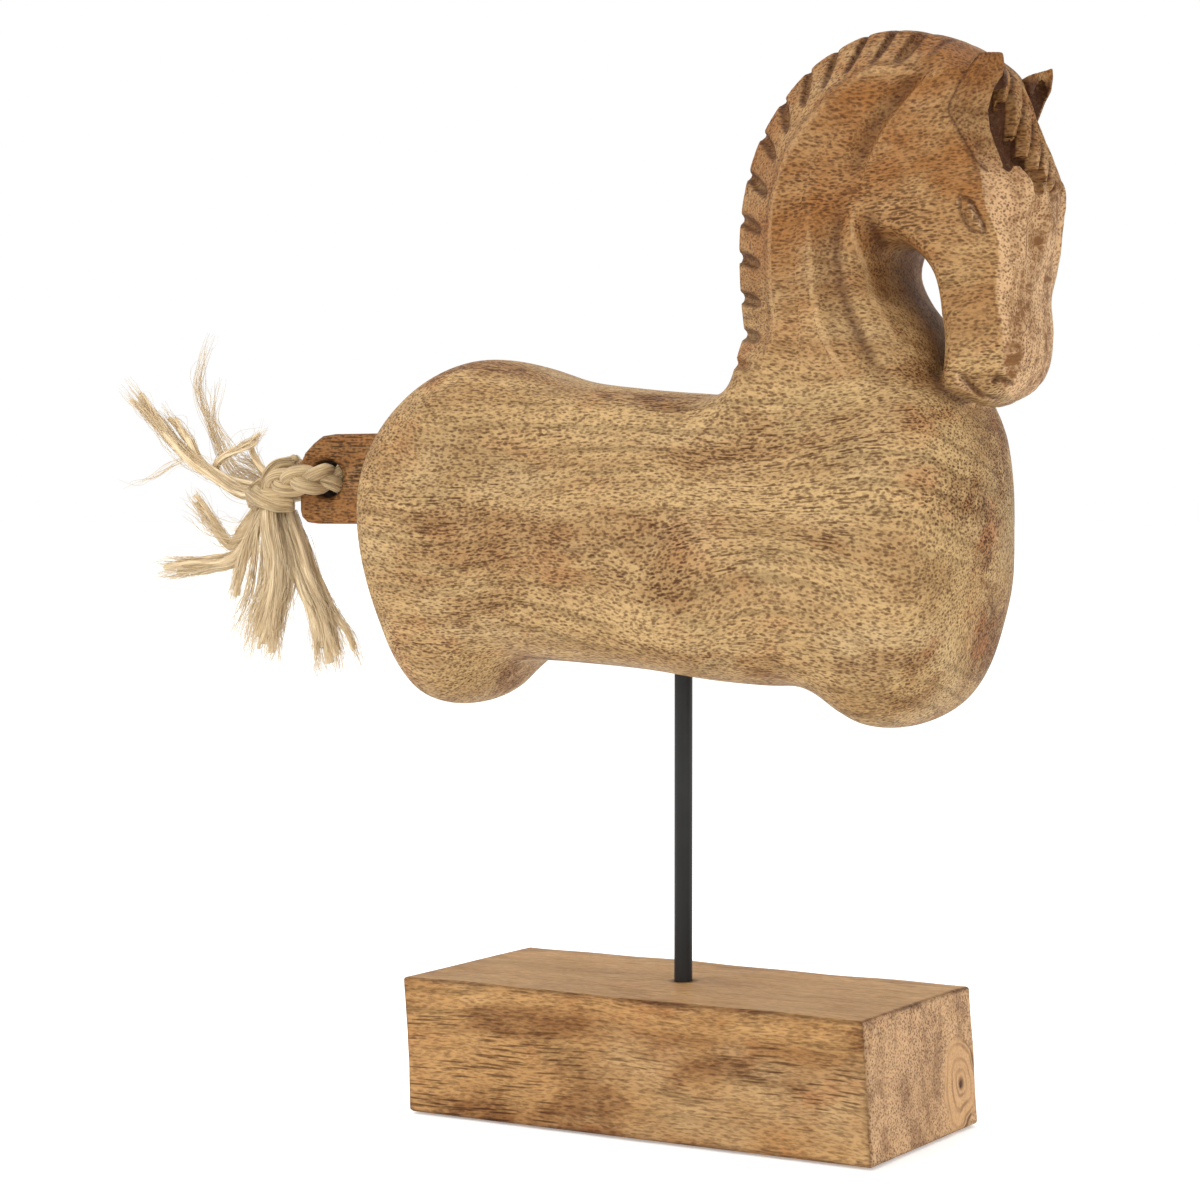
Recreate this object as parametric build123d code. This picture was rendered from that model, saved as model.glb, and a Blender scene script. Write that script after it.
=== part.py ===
from build123d import *

import math
import os

# A carved wooden horse without legs, held by one steel rod above a hand-cut wooden block.
# Its tail is a plaited sisal rope through a hole in a separate wooden tab, knotted and frayed out.
# Millimetres, +Z up, +X towards the head. Every outline is drawn about the rod's axis, and write()
# then moves the pieces by ROD_X, so that the origin lies on the table under the middle of the length.

ROD_X = 16.0

# Base block, its feet and the fixing in its underside
BASE_LENGTH = 228.0
BASE_WIDTH = 106.0
BASE_TOP = 61.0
BASE_LEAN = 4.0  # the underside sits this far ahead of the top, so both ends lean
EDGE_BREAK = 1.2
PAD_RADIUS = 9.0
PAD_THICKNESS = 1.0
PAD_INSET = 15.0
COUNTERBORE_RADIUS = 12.0
COUNTERBORE_DEPTH = 14.0
WASHER_RADIUS = 8.0
WASHER_THICKNESS = 1.6
NUT_ACROSS_FLATS = 13.0
NUT_HEIGHT = 6.5

# Rod
ROD_RADIUS = 4.0
ROD_BOTTOM = 4.0
ROD_TOP = 245.0
ROD_CLEARANCE = 0.05

# Tail tab, glued into a pocket in the rump
TAB_LEFT = -203.0
TAB_RIGHT = -132.0
TAB_LOW = 262.0
TAB_HIGH = 304.0
TAB_THICKNESS = 18.0
TAB_TOP_CORNER = 12.0
TAB_LOWER_CORNER = 6.0
TAB_CORNER_RADIUS = 4.0
TAB_EDGE_RADIUS = 1.2
GLUE_LINE = 0.1
HOLE_X = -187.0
HOLE_Z = 283.0
HOLE_RADIUS = 10.0

# Tail rope: knot, round the tab's end bar through the hole, and back to the knot
ROPE_RADIUS = 6.5
ROPE_ROUTE = [
    (-221, -7, 279),
    (-208, -17, 281.5),
    (-184, -17, 283),
    (-184, 17, 283),
    (-208, 17, 281.5),
    (-221, 7, 279),
]
ROPE_BEND_ON_BAR = 16.0
KNOT_CENTRE = (-228, 0, 277)
KNOT_RADII = (11, 14, 12)

# Carved body: (x, lowest z, highest z, half width) from the rump to the chest
TORSO = [
    (-162, 243, 292, 17),
    (-157, 224, 309, 31),
    (-144, 206, 323, 39),
    (-128, 193, 331, 42),
    (-112, 185, 336, 43),
    (-96, 182, 337, 43),
    (-79, 186, 334, 43),
    (-62, 196, 328, 42),
    (-30, 199, 323, 42),
    (20, 198, 320, 42),
    (60, 193, 320, 42),
    (85, 186, 322, 43),
    (103, 180, 325, 43),
    (120, 180, 326, 42),
    (136, 190, 320, 38),
    (145, 207, 306, 30),
    (150, 226, 288, 17),
]
# Neck: (x, z) on the mane, (x, z) on the throat, half width, from the withers up to the poll
NECK = [
    ((24, 296), (138, 286), 41),
    ((33, 345), (118, 332), 40),
    ((32, 382), (103, 362), 38),
    ((43, 425), (107, 386), 36),
    ((64, 453), (120, 396), 35),
    ((92, 465), (134, 402), 34),
    ((122, 463), (148, 412), 28),
]
# Head: (z, x at the jaw, x at the face, half width) from the poll down to the chin
HEAD = [
    (464, 112, 146, 20),
    (455, 104, 153, 29),
    (440, 101, 160, 34),
    (415, 101, 167, 35),
    (390, 106, 170.8, 34),
    (366, 123, 168, 30),
    (345, 133, 168, 26),
    (330, 131, 168, 24),
    (319, 136, 165, 19),
    (314, 142, 160, 12),
]
SECTION_POWER = 2.6
SECTION_POINTS = 16
EAR_FOOT = (147, 19, 424)
EAR_TIP = (157, 33, 452)
EAR_RADII = (11, 2.5)

# Frayed bundles: points from the knot to the tip, each with its radius
TUFTS = {
    "tail_tuft_upper_long": [
        ((-231, -2, 279), 4.0),
        ((-258, -3, 287), 6.5),
        ((-280, -4, 301), 6.5),
        ((-303, -5, 323), 6.0),
    ],
    "tail_tuft_upper_thin": [
        ((-231, 7, 283), 2.5),
        ((-254, 11, 291), 3.5),
        ((-270, 11, 313), 3.5),
        ((-275, 11, 342), 2.5),
    ],
    "tail_tuft_top_short": [
        ((-225, 3, 284), 2.5),
        ((-233, 5, 293), 3.5),
        ((-238, 4, 302), 3.5),
    ],
    "tail_tuft_back": [
        ((-233, 2, 271), 4.0),
        ((-244, 3, 255), 6.5),
        ((-263, 3, 246), 7.5),
        ((-287, 3, 240), 6.5),
    ],
    "tail_tuft_lower_back": [
        ((-226, -4, 268), 4.0),
        ((-222, -9, 248), 6.5),
        ((-223, -11, 226), 7.5),
        ((-227, -11, 204), 6.5),
    ],
    "tail_tuft_lower_front": [
        ((-220, 1, 268), 4.0),
        ((-211, 1, 246), 7.0),
        ((-200, 0, 225), 7.5),
        ((-189, -1, 203), 7.0),
    ],
}


def write(name, shape):
    """Moves a piece from the rod's axis to the origin and writes it as its own STEP file."""
    shape = Pos(ROD_X, 0, 0) * shape
    shape.label = name
    export_step(shape, f"parts/{name}.step")


def upright(radius, bottom, top, x=0.0, y=0.0):
    """Solid cylinder between two heights."""
    return Solid.make_cylinder(radius, top - bottom, Plane((x, y, bottom)))


def cross(radius, x, z, length):
    """Solid cylinder along Y, centred on the middle plane."""
    return Solid.make_cylinder(radius, length, Plane((x, -length / 2, z), z_dir=(0, 1, 0)))


def only_solid(shape):
    """The one solid that a cut or a union leaves."""
    solids = shape.solids()
    assert len(solids) == 1, f"{len(solids)} solids where one was meant"
    return solids[0]


def section(near, far, half_width):
    """Closed superellipse from point near to point far in the middle plane, half_width to each side."""
    points = []
    for k in range(SECTION_POINTS):
        turn = 2 * math.pi * k / SECTION_POINTS
        along = math.copysign(abs(math.cos(turn)) ** (2 / SECTION_POWER), math.cos(turn))
        aside = math.copysign(abs(math.sin(turn)) ** (2 / SECTION_POWER), math.sin(turn))
        share = (1 + along) / 2
        x = near[0] + (far[0] - near[0]) * share
        z = near[1] + (far[1] - near[1]) * share
        points.append((x, half_width * aside, z))
    return Wire([Edge.make_spline(points, periodic=True)])


def make_horse():
    torso = Solid.make_loft([section((x, low), (x, high), half) for x, low, high, half in TORSO])
    neck = Solid.make_loft([section(back, throat, half) for back, throat, half in NECK])
    head = Solid.make_loft([section((jaw, z), (face, z), half) for z, jaw, face, half in HEAD])
    horse = torso.fuse(neck).fuse(head)
    for side in (-1, 1):
        foot = Vector(EAR_FOOT[0], side * EAR_FOOT[1], EAR_FOOT[2])
        tip = Vector(EAR_TIP[0], side * EAR_TIP[1], EAR_TIP[2])
        rise = tip - foot
        horse = horse.fuse(Solid.make_cone(*EAR_RADII, rise.length, Plane(foot, z_dir=rise)))
    pocket_length = TAB_RIGHT + GLUE_LINE - TAB_LEFT
    pocket = Solid.make_box(
        pocket_length,
        TAB_THICKNESS + 2 * GLUE_LINE,
        TAB_HIGH - TAB_LOW + 2 * GLUE_LINE,
        Plane((TAB_LEFT, -TAB_THICKNESS / 2 - GLUE_LINE, TAB_LOW - GLUE_LINE)),
    )
    rod_bore = upright(ROD_RADIUS + ROD_CLEARANCE, BASE_TOP, ROD_TOP + 1)
    return only_solid(horse.cut(pocket).cut(rod_bore))


def make_tab():
    outline = make_face(
        Polyline(
            (TAB_LEFT, TAB_LOW + TAB_LOWER_CORNER),
            (TAB_LEFT + TAB_LOWER_CORNER, TAB_LOW),
            (TAB_RIGHT, TAB_LOW),
            (TAB_RIGHT, TAB_HIGH),
            (TAB_LEFT + TAB_TOP_CORNER, TAB_HIGH),
            (TAB_LEFT, TAB_HIGH - TAB_TOP_CORNER),
            close=True,
        )
    )
    # Plane.XZ looks along -Y, so its local y is the height and the tab grows to both sides.
    tab = extrude(Plane.XZ * outline, TAB_THICKNESS / 2, both=True)
    corners = tab.edges().filter_by(Axis.Y).sort_by(Axis.X)[:4]
    tab = fillet(corners, TAB_CORNER_RADIUS)
    tab -= cross(HOLE_RADIUS, HOLE_X, HOLE_Z, TAB_THICKNESS + 2)
    along_y = tab.edges().group_by(Axis.Y)
    return only_solid(fillet(along_y[0] + along_y[-1], TAB_EDGE_RADIUS))


def make_base():
    half = BASE_LENGTH / 2
    outline = make_face(
        Polyline(
            (-half + BASE_LEAN, PAD_THICKNESS),
            (half + BASE_LEAN, PAD_THICKNESS),
            (half, BASE_TOP),
            (-half, BASE_TOP),
            close=True,
        )
    )
    block = extrude(Plane.XZ * outline, BASE_WIDTH / 2, both=True)
    block = fillet(block.edges(), EDGE_BREAK)
    rod_bore = upright(ROD_RADIUS + ROD_CLEARANCE, 0, BASE_TOP + 1)
    counterbore = upright(COUNTERBORE_RADIUS, 0, PAD_THICKNESS + COUNTERBORE_DEPTH)
    return only_solid(block - rod_bore - counterbore)


def make_pads():
    """Four stick-on felt discs under the block's corners."""
    reach_x = BASE_LENGTH / 2 - PAD_INSET
    reach_y = BASE_WIDTH / 2 - PAD_INSET
    pads = []
    for side_x in (-1, 1):
        for side_y in (-1, 1):
            x = side_x * reach_x + BASE_LEAN
            pads.append(upright(PAD_RADIUS, 0, PAD_THICKNESS, x, side_y * reach_y))
    return Compound(pads)


def make_washer():
    top = PAD_THICKNESS + COUNTERBORE_DEPTH
    bottom = top - WASHER_THICKNESS
    return only_solid(upright(WASHER_RADIUS, bottom, top) - upright(ROD_RADIUS + 0.3, bottom, top))


def make_nut():
    top = PAD_THICKNESS + COUNTERBORE_DEPTH - WASHER_THICKNESS
    hexagon = RegularPolygon(NUT_ACROSS_FLATS / 2, 6, major_radius=False)
    nut = extrude(Pos(0, 0, top - NUT_HEIGHT) * hexagon, NUT_HEIGHT)
    return only_solid(nut - upright(ROD_RADIUS + ROD_CLEARANCE, 0, top + 1))


def rope_radii():
    """One radius per corner: the bar's own bend at the hole, else as wide as the runs allow."""
    route = [Vector(*point) for point in ROPE_ROUTE]
    radii = []
    for before, corner, after in zip(route, route[1:], route[2:]):
        turn = (corner - before).get_angle(after - corner)
        if turn > 80:
            radii.append(ROPE_BEND_ON_BAR)
            continue
        # The run towards the hole gives most of its length to the bend on the bar.
        runs = [(corner - before).length, (after - corner).length]
        free = min(runs[0], runs[1], max(runs) - ROPE_BEND_ON_BAR)
        radii.append(0.9 * free / math.tan(math.radians(turn / 2)))
    return radii


def make_rope():
    radii = rope_radii()
    path = FilletPolyline(*ROPE_ROUTE, radius=radii)
    start = Plane(path @ 0, z_dir=path % 0)
    rope = only_solid(sweep(start * Circle(ROPE_RADIUS), path=path))
    drawn = math.pi * ROPE_RADIUS**2 * path.length
    print("rope radii", [round(radius, 1) for radius in radii], "length", round(path.length, 1))
    print("rope volume", round(rope.volume), "section times length", round(drawn))
    return rope


def make_knot_ball():
    """The whole knot, before the rope's ends are taken out of it."""
    return Pos(*KNOT_CENTRE) * scale(Solid.make_sphere(1.0), by=KNOT_RADII)


def make_tuft(stations):
    """Tapering bundle of fibres through round sections that stand square to its run."""
    centres = [Vector(*point) for point, radius in stations]
    rings = []
    for k, (point, radius) in enumerate(stations):
        heading = centres[min(k + 1, len(centres) - 1)] - centres[max(k - 1, 0)]
        rings.append(Wire.make_circle(radius, Plane(centres[k], x_dir=(0, 1, 0), z_dir=heading)))
    return Solid.make_loft(rings)


horse = make_horse()
rope = make_rope()
knot_ball = make_knot_ball()

write("horse_body", horse)
write("tail_tab", make_tab())
write("support_rod", upright(ROD_RADIUS, ROD_BOTTOM, ROD_TOP))
write("base_block", make_base())
write("base_pads", make_pads())
write("rod_washer", make_washer())
write("rod_nut", make_nut())
write("tail_rope", rope)
write("tail_knot", only_solid(knot_ball.cut(rope)))

# Each bundle gives way to the knot and to the bundles before it.
taken = knot_ball
for name, stations in TUFTS.items():
    tuft = only_solid(make_tuft(stations).cut(taken))
    write(name, tuft)
    taken = taken.fuse(tuft)
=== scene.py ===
import math
from itertools import product

import bmesh
import bpy
import numpy as np
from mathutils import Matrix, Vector


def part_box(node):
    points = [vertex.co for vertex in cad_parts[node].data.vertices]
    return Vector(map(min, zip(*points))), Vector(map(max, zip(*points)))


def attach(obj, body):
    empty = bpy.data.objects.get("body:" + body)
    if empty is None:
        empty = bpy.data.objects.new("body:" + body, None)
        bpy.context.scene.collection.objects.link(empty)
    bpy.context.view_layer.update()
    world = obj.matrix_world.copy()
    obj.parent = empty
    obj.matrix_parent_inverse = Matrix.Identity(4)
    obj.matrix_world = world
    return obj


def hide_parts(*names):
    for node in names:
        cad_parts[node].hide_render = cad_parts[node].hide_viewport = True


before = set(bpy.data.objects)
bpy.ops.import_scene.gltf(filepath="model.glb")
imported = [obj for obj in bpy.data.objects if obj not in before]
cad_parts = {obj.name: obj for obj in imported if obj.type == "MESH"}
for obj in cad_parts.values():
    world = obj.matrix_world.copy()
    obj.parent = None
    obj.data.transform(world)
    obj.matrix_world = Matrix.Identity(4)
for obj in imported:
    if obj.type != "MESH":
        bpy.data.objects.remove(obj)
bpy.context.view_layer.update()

# Shapes are drawn in millimetres about the rod's axis, +X towards the head, and placed by to_frame().
MM = 0.001
ROD_LOW, ROD_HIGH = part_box("support_rod")
ROD_X = (ROD_LOW.x + ROD_HIGH.x) / 2 / MM


def to_frame(points):
    """Millimetres about the rod to metres in the frame."""
    return (np.asarray(points, float) + (ROD_X, 0, 0)) * MM


# ---------------------------------------------------------------- camera

CAMERA_AZIMUTH = math.radians(31.05)
CAMERA_PITCH = math.radians(-1.75)
CAMERA_DISTANCE = 1320.9
CAMERA_ASIDE = -36.7
CAMERA_HEIGHT = 269.4
CAMERA_LENS = 90.3


def link(name, data):
    """New object in the scene that shows this data."""
    thing = bpy.data.objects.new(name, data)
    bpy.context.scene.collection.objects.link(thing)
    return thing


def make_camera():
    aside = Vector((math.cos(CAMERA_AZIMUTH), math.sin(CAMERA_AZIMUTH), 0))
    back = Vector((math.sin(CAMERA_AZIMUTH), -math.cos(CAMERA_AZIMUTH), 0))
    data = bpy.data.cameras.new("camera")
    data.lens = CAMERA_LENS
    data.sensor_width = 36
    camera = link("camera", data)
    place = aside * CAMERA_ASIDE + back * CAMERA_DISTANCE + Vector((ROD_X, 0, CAMERA_HEIGHT))
    camera.location = place * MM
    camera.rotation_euler = (math.pi / 2 + CAMERA_PITCH, 0, CAMERA_AZIMUTH)
    bpy.context.scene.camera = camera


make_camera()


# ---------------------------------------------------------------- tail rope: its line

ROPE_ROUTE = [
    (-221, -7, 279),
    (-208, -17, 281.5),
    (-184, -17, 283),
    (-184, 17, 284),
    (-208, 17, 282),
    (-221, 7, 279),
]


def make_rope_line():
    """Points in metres along the smooth line that the rope follows through the tab."""
    data = bpy.data.curves.new("rope_line", "CURVE")
    data.dimensions = "3D"
    data.resolution_u = 24
    spline = data.splines.new("NURBS")
    spline.points.add(len(ROPE_ROUTE) - 1)
    for control, place in zip(spline.points, to_frame(ROPE_ROUTE)):
        control.co = (*place, 1)
    spline.order_u = 3
    spline.use_endpoint_u = True
    line = bpy.data.objects.new("rope_line", data)
    mesh = bpy.data.meshes.new_from_object(line)
    points = np.array([vert.co for vert in mesh.vertices])
    bpy.data.meshes.remove(mesh)
    bpy.data.objects.remove(line)
    return points


ROPE_LINE = make_rope_line()


# ---------------------------------------------------------------- mesh helpers

def new_mesh(name, points, faces, material):
    """Smooth-shaded piece from points in millimetres about the rod."""
    mesh = bpy.data.meshes.new(name)
    mesh.from_pydata(to_frame(points).tolist(), [], [tuple(face) for face in faces])
    mesh.validate()
    mesh.polygons.foreach_set("use_smooth", [True] * len(mesh.polygons))
    mesh.materials.append(material)
    return link(name, mesh)


def paint(piece, name, values):
    """Stores one number per vertex for the material to read."""
    layer = piece.data.attributes.new(name, "FLOAT", "POINT")
    layer.data.foreach_set("value", np.asarray(values, np.float32))


def smooth_steps(t):
    """0 up to 0, 1 from 1 on, smooth between."""
    t = np.clip(t, 0, 1)
    return t * t * (3 - 2 * t)


def bell(t):
    """1 at 0, falling smoothly to almost nothing at 2 either way."""
    return np.exp(-(t**2))


def soft_min(a, b, k):
    """Union of two fields with a fillet of about k."""
    h = np.clip(0.5 + 0.5 * (b - a) / k, 0, 1)
    return b * (1 - h) + a * h - k * h * (1 - h)


def soft_max(a, b, k):
    """Overlap of two fields with an edge rounded by about k."""
    return -soft_min(-a, -b, k)


def catmull(points, steps, closed):
    """Points along a Catmull-Rom curve through the given ones."""
    p = np.asarray(points, float)
    if closed:
        p = np.vstack([p[-1], p, p[0], p[1]])
    else:
        p = np.vstack([2 * p[0] - p[1], p, 2 * p[-1] - p[-2]])
    t = np.arange(steps)[:, None] / steps
    out = []
    for a, b, c, d in zip(p, p[1:], p[2:], p[3:]):
        bent = (2 * a - 5 * b + 4 * c - d) * t**2
        out.append(0.5 * (2 * b + (c - a) * t + bent + (3 * b - a - 3 * c + d) * t**3))
    if not closed:
        out.append(p[-2][None])
    return np.vstack(out)


# ---------------------------------------------------------------- tail: strands and fibres

def travelled(points):
    """How far along its line each point lies."""
    return np.concatenate([[0], np.cumsum(np.linalg.norm(np.diff(points, axis=0), axis=1))])


def resample(points, count):
    """The same line with its points evenly spaced."""
    points = np.asarray(points, float)
    passed = travelled(points)
    at = np.linspace(0, passed[-1], count)
    return np.stack([np.interp(at, passed, points[:, axis]) for axis in range(3)], axis=1)


def turning_frame(line, up):
    """Two directions square to the line at each point, turning as little as they can."""
    run = np.gradient(line, axis=0)
    run /= np.linalg.norm(run, axis=1)[:, None]
    first = np.cross(run[0], up)
    firsts = []
    for heading in run:
        first = first - heading * (first @ heading)
        first = first / np.linalg.norm(first)
        firsts.append(first)
    firsts = np.array(firsts)
    return firsts, np.cross(run, firsts)


def beside(line, firsts, seconds, a, b):
    """The line moved by a and b along its two directions."""
    return line + a[:, None] * firsts + b[:, None] * seconds


HAIR_RADIUS = 0.12
# Keeps the places that strands give the material apart, so that no two strands look alike
STRAND_GAP = 3.7


class Strands:
    """Many strands in one mesh, each point with its place inside its own straightened strand."""

    def __init__(self):
        self.points, self.faces, self.places = [], [], []
        self.total = 0
        self.count = 0

    def add(self, path, radius, sides=12, flat=1.0, lobes=0, depth=0.0, twist=0.0, up=(0, 0, 1)):
        """One strand along a path. Lobes stand for the yarns that show in its outline."""
        path = np.asarray(path, float)
        firsts, seconds = turning_frame(path, up)
        along = travelled(path)
        turn = np.linspace(0, 2 * math.pi, sides, endpoint=False)
        radius = np.broadcast_to(np.asarray(radius, float), len(path))[:, None]
        size = radius * (1 + depth * np.cos(lobes * turn + twist * along[:, None]))
        self.add_rings(path, size * np.cos(turn), size * np.sin(turn) * flat, firsts, seconds, along)

    def add_hair(self, path, radius, firsts, seconds, along):
        """Three-sided hair that runs beside the line whose directions are given."""
        turn = np.linspace(0, 2 * math.pi, 3, endpoint=False)
        taper = np.sqrt(np.clip(1.15 - np.linspace(0, 1, len(along)) ** 4, 0, 1))
        size = radius * taper[:, None]
        self.add_rings(path, size * np.cos(turn), size * np.sin(turn), firsts, seconds, along)

    def add_rings(self, path, a, b, firsts, seconds, along):
        """Skin of quads over rings round the path, with both ends closed."""
        rings = path[:, None] + a[..., None] * firsts[:, None] + b[..., None] * seconds[:, None]
        rows, sides = a.shape
        index = self.total + np.arange(rows * sides).reshape(rows, sides)
        ahead = np.roll(index, -1, axis=1)
        quads = np.stack([index[:-1], ahead[:-1], ahead[1:], index[1:]], axis=-1).reshape(-1, 4)
        places = [a + STRAND_GAP * self.count, b, np.broadcast_to(along[:, None], a.shape)]
        self.points.append(rings.reshape(-1, 3))
        self.places.append(np.stack(places, axis=-1).reshape(-1, 3))
        self.faces += quads.tolist()
        self.faces += [index[0][::-1].tolist(), index[-1].tolist()]
        self.total += rows * sides
        self.count += 1

    def build(self, name, material):
        piece = new_mesh(name, np.vstack(self.points), self.faces, material)
        layer = piece.data.attributes.new("strand", "FLOAT_VECTOR", "POINT")
        layer.data.foreach_set("vector", np.vstack(self.places).astype(np.float32).ravel())
        return piece


# Each strand of the plait swings this far across the line, and its depth twice as often, once per pitch.
PLAIT_ASIDE = 3.6
PLAIT_DEPTH = 2.5
PLAIT_PITCH = 38.0
PLAIT_STRAND = 3.85
PLAIT_FLATNESS = 0.92
PLAIT_HAIRS = 26


def add_plait_hairs(strands, rng, middle, passed):
    """Short stretches of hair that lie on one strand of the plait."""
    firsts, seconds = turning_frame(middle, (0, 0, 1))
    for turn in rng.uniform(0, 2 * math.pi, PLAIT_HAIRS):
        swing = turn + 0.035 * passed + 0.25 * np.sin(passed / 5 + turn * 3)
        away = PLAIT_STRAND * (1.0 + 0.05 * np.sin(passed / 3.1 + turn * 5))
        hair = beside(middle, firsts, seconds, away * np.cos(swing), away * PLAIT_FLATNESS * np.sin(swing))
        low = rng.integers(0, 50)
        high = low + rng.integers(25, 46)
        part = slice(low, high)
        strands.add_hair(hair[part], HAIR_RADIUS, firsts[part], seconds[part], passed[part])


def make_rope(material):
    """Three-strand flat plait along the rope's line."""
    line = resample(ROPE_LINE / MM - (ROD_X, 0, 0), 96)
    passed = travelled(line)
    level, upright = turning_frame(line, (0, 0, 1))
    rng = np.random.default_rng(5)
    strands = Strands()
    for k in range(3):
        phase = 2 * math.pi * (passed / PLAIT_PITCH + k / 3)
        middle = beside(line, upright, level, PLAIT_ASIDE * np.sin(phase), PLAIT_DEPTH * np.sin(2 * phase))
        strands.add(middle, PLAIT_STRAND, sides=22, flat=PLAIT_FLATNESS, lobes=7, depth=0.045, twist=0.30)
        add_plait_hairs(strands, rng, middle, passed)
    return strands.build("plaited_rope", material)


# Turns of the knot: points, then the strand's radius
KNOT_TURNS = [
    ([(-213, -2, 290), (-216, -9, 288), (-218.5, -11.5, 282), (-220, -9, 275), (-223, -1, 270),
      (-224, 8, 272), (-222, 12, 280), (-218, 9, 288), (-214, 2, 291)], 3.9),
    ([(-207.5, -7, 273), (-213, -10.5, 272.5), (-221, -11, 274), (-229, -7, 275.5), (-234, -1, 274),
      (-233, 6, 270), (-226, 9, 266)], 4.9),
    ([(-209, 4, 281), (-217, 0, 283.5), (-225, -4, 281), (-232, -4, 276), (-235, 1, 271)], 4.3),
]


YARNS_IN_TURN = 4
YARN_AWAY = 0.46
YARN_THICK = 0.60
KNOT_HAIRS = 30


def make_knot(material):
    """Turns of yarns laid together, with hairs on them."""
    rng = np.random.default_rng(11)
    strands = Strands()
    for points, radius in KNOT_TURNS:
        line = resample(catmull(points, 12, closed=False), 48)
        passed = travelled(line)
        firsts, seconds = turning_frame(line, (0.2, 0.1, 1))
        for k in range(YARNS_IN_TURN):
            phase = math.pi / 2 * k + 0.07 * passed
            away = YARN_AWAY * radius
            yarn = beside(line, firsts, seconds, away * np.cos(phase), away * np.sin(phase))
            strands.add(yarn, YARN_THICK * radius, sides=18, lobes=6, depth=0.07, twist=0.1)
        for turn in rng.uniform(0, 2 * math.pi, KNOT_HAIRS):
            swing = turn + 0.07 * passed
            away = radius * (1.03 + 0.05 * np.sin(passed / 4 + turn * 7))
            hair = beside(line, firsts, seconds, away * np.cos(swing), away * np.sin(swing))
            strands.add_hair(hair, HAIR_RADIUS, firsts, seconds, passed)
    return strands.build("knot", material)


BUNDLE_FLATNESS = 0.75
# Turn in radians from one lock to the next, which spreads them evenly over the bundle
LOCK_TURN = 2.4


class Bundle:
    """Line of a frayed bundle with its growing reach, for fibres to wander beside."""

    def __init__(self, rng, points, radii):
        self.rng = rng
        line = resample(catmull(points, 10, closed=False), 30)
        tail = line[-1] + (line[-1] - line[-3]) * np.arange(1, 4)[:, None] * 0.5
        self.line = np.vstack([line, tail])
        self.share = np.linspace(0, 1.05, len(self.line))
        self.reach = np.interp(self.share, np.linspace(0, 1, len(radii)), radii)
        self.passed = travelled(self.line)
        self.firsts, self.seconds = turning_frame(self.line, (0.1, 1, 0.05))

    def fibre(self, away, turn, wander):
        """Line at a place given in parts of the bundle's reach, that wanders more towards its end."""
        phases = self.rng.uniform(0, 2 * math.pi, 4)
        lengths = self.rng.uniform(14, 40, 2)
        passed = self.passed
        sway = wander * (0.20 + 1.5 * self.share**1.6)
        wave = np.sin(passed / lengths[0] * 3 + phases[0]) + 0.4 * np.sin(passed / 4 + phases[2])
        one = away * math.cos(turn) * self.reach + sway * wave
        wave = np.sin(passed / lengths[1] * 3 + phases[1]) + 0.4 * np.sin(passed / 5 + phases[3])
        two = away * math.sin(turn) * self.reach + sway * wave
        return beside(self.line, self.firsts, self.seconds, one, two * BUNDLE_FLATNESS)

    def add_locks(self, strands, count, lock_radius):
        """Thick locks, spread evenly over the bundle."""
        rng = self.rng
        for k in range(count):
            turn = LOCK_TURN * k + rng.uniform(-0.3, 0.3)
            away = 0.62 * math.sqrt((k + 0.5) / count)
            end = len(self.line) - rng.integers(2, 7)
            path = self.fibre(away, turn, 0.65)[:end]
            thick = lock_radius * rng.uniform(0.85, 1.2)
            swell = 0.80 + 0.35 * np.sin(math.pi * np.clip(self.share[:end] * 1.1, 0, 1))
            strands.add(path, thick * swell, sides=14, flat=rng.uniform(0.5, 0.8), lobes=5, depth=0.12,
                        twist=rng.uniform(-0.05, 0.05), up=(rng.uniform(-1, 1), 1, rng.uniform(-1, 1)))

    def add_hair(self, strands, stray):
        """Fine hair that lies on the locks, or a stray that wanders away from them."""
        rng = self.rng
        turn = rng.uniform(0, 2 * math.pi)
        away = rng.uniform(0.9, 1.5) if stray else 0.98 * math.sqrt(rng.uniform(0.15, 1))
        wander = rng.uniform(1.5, 4.0) if stray else rng.uniform(0.4, 1.3)
        path = self.fibre(away, turn, wander)
        low = rng.integers(0, 14 if stray else 6)
        high = len(self.line) - rng.integers(0, 14 if stray else 8)
        part = slice(low, high)
        radius = rng.uniform(0.07, 0.11) if stray else rng.uniform(0.10, 0.19)
        strands.add_hair(path[part], radius, self.firsts[part], self.seconds[part], self.passed[part])


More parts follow.
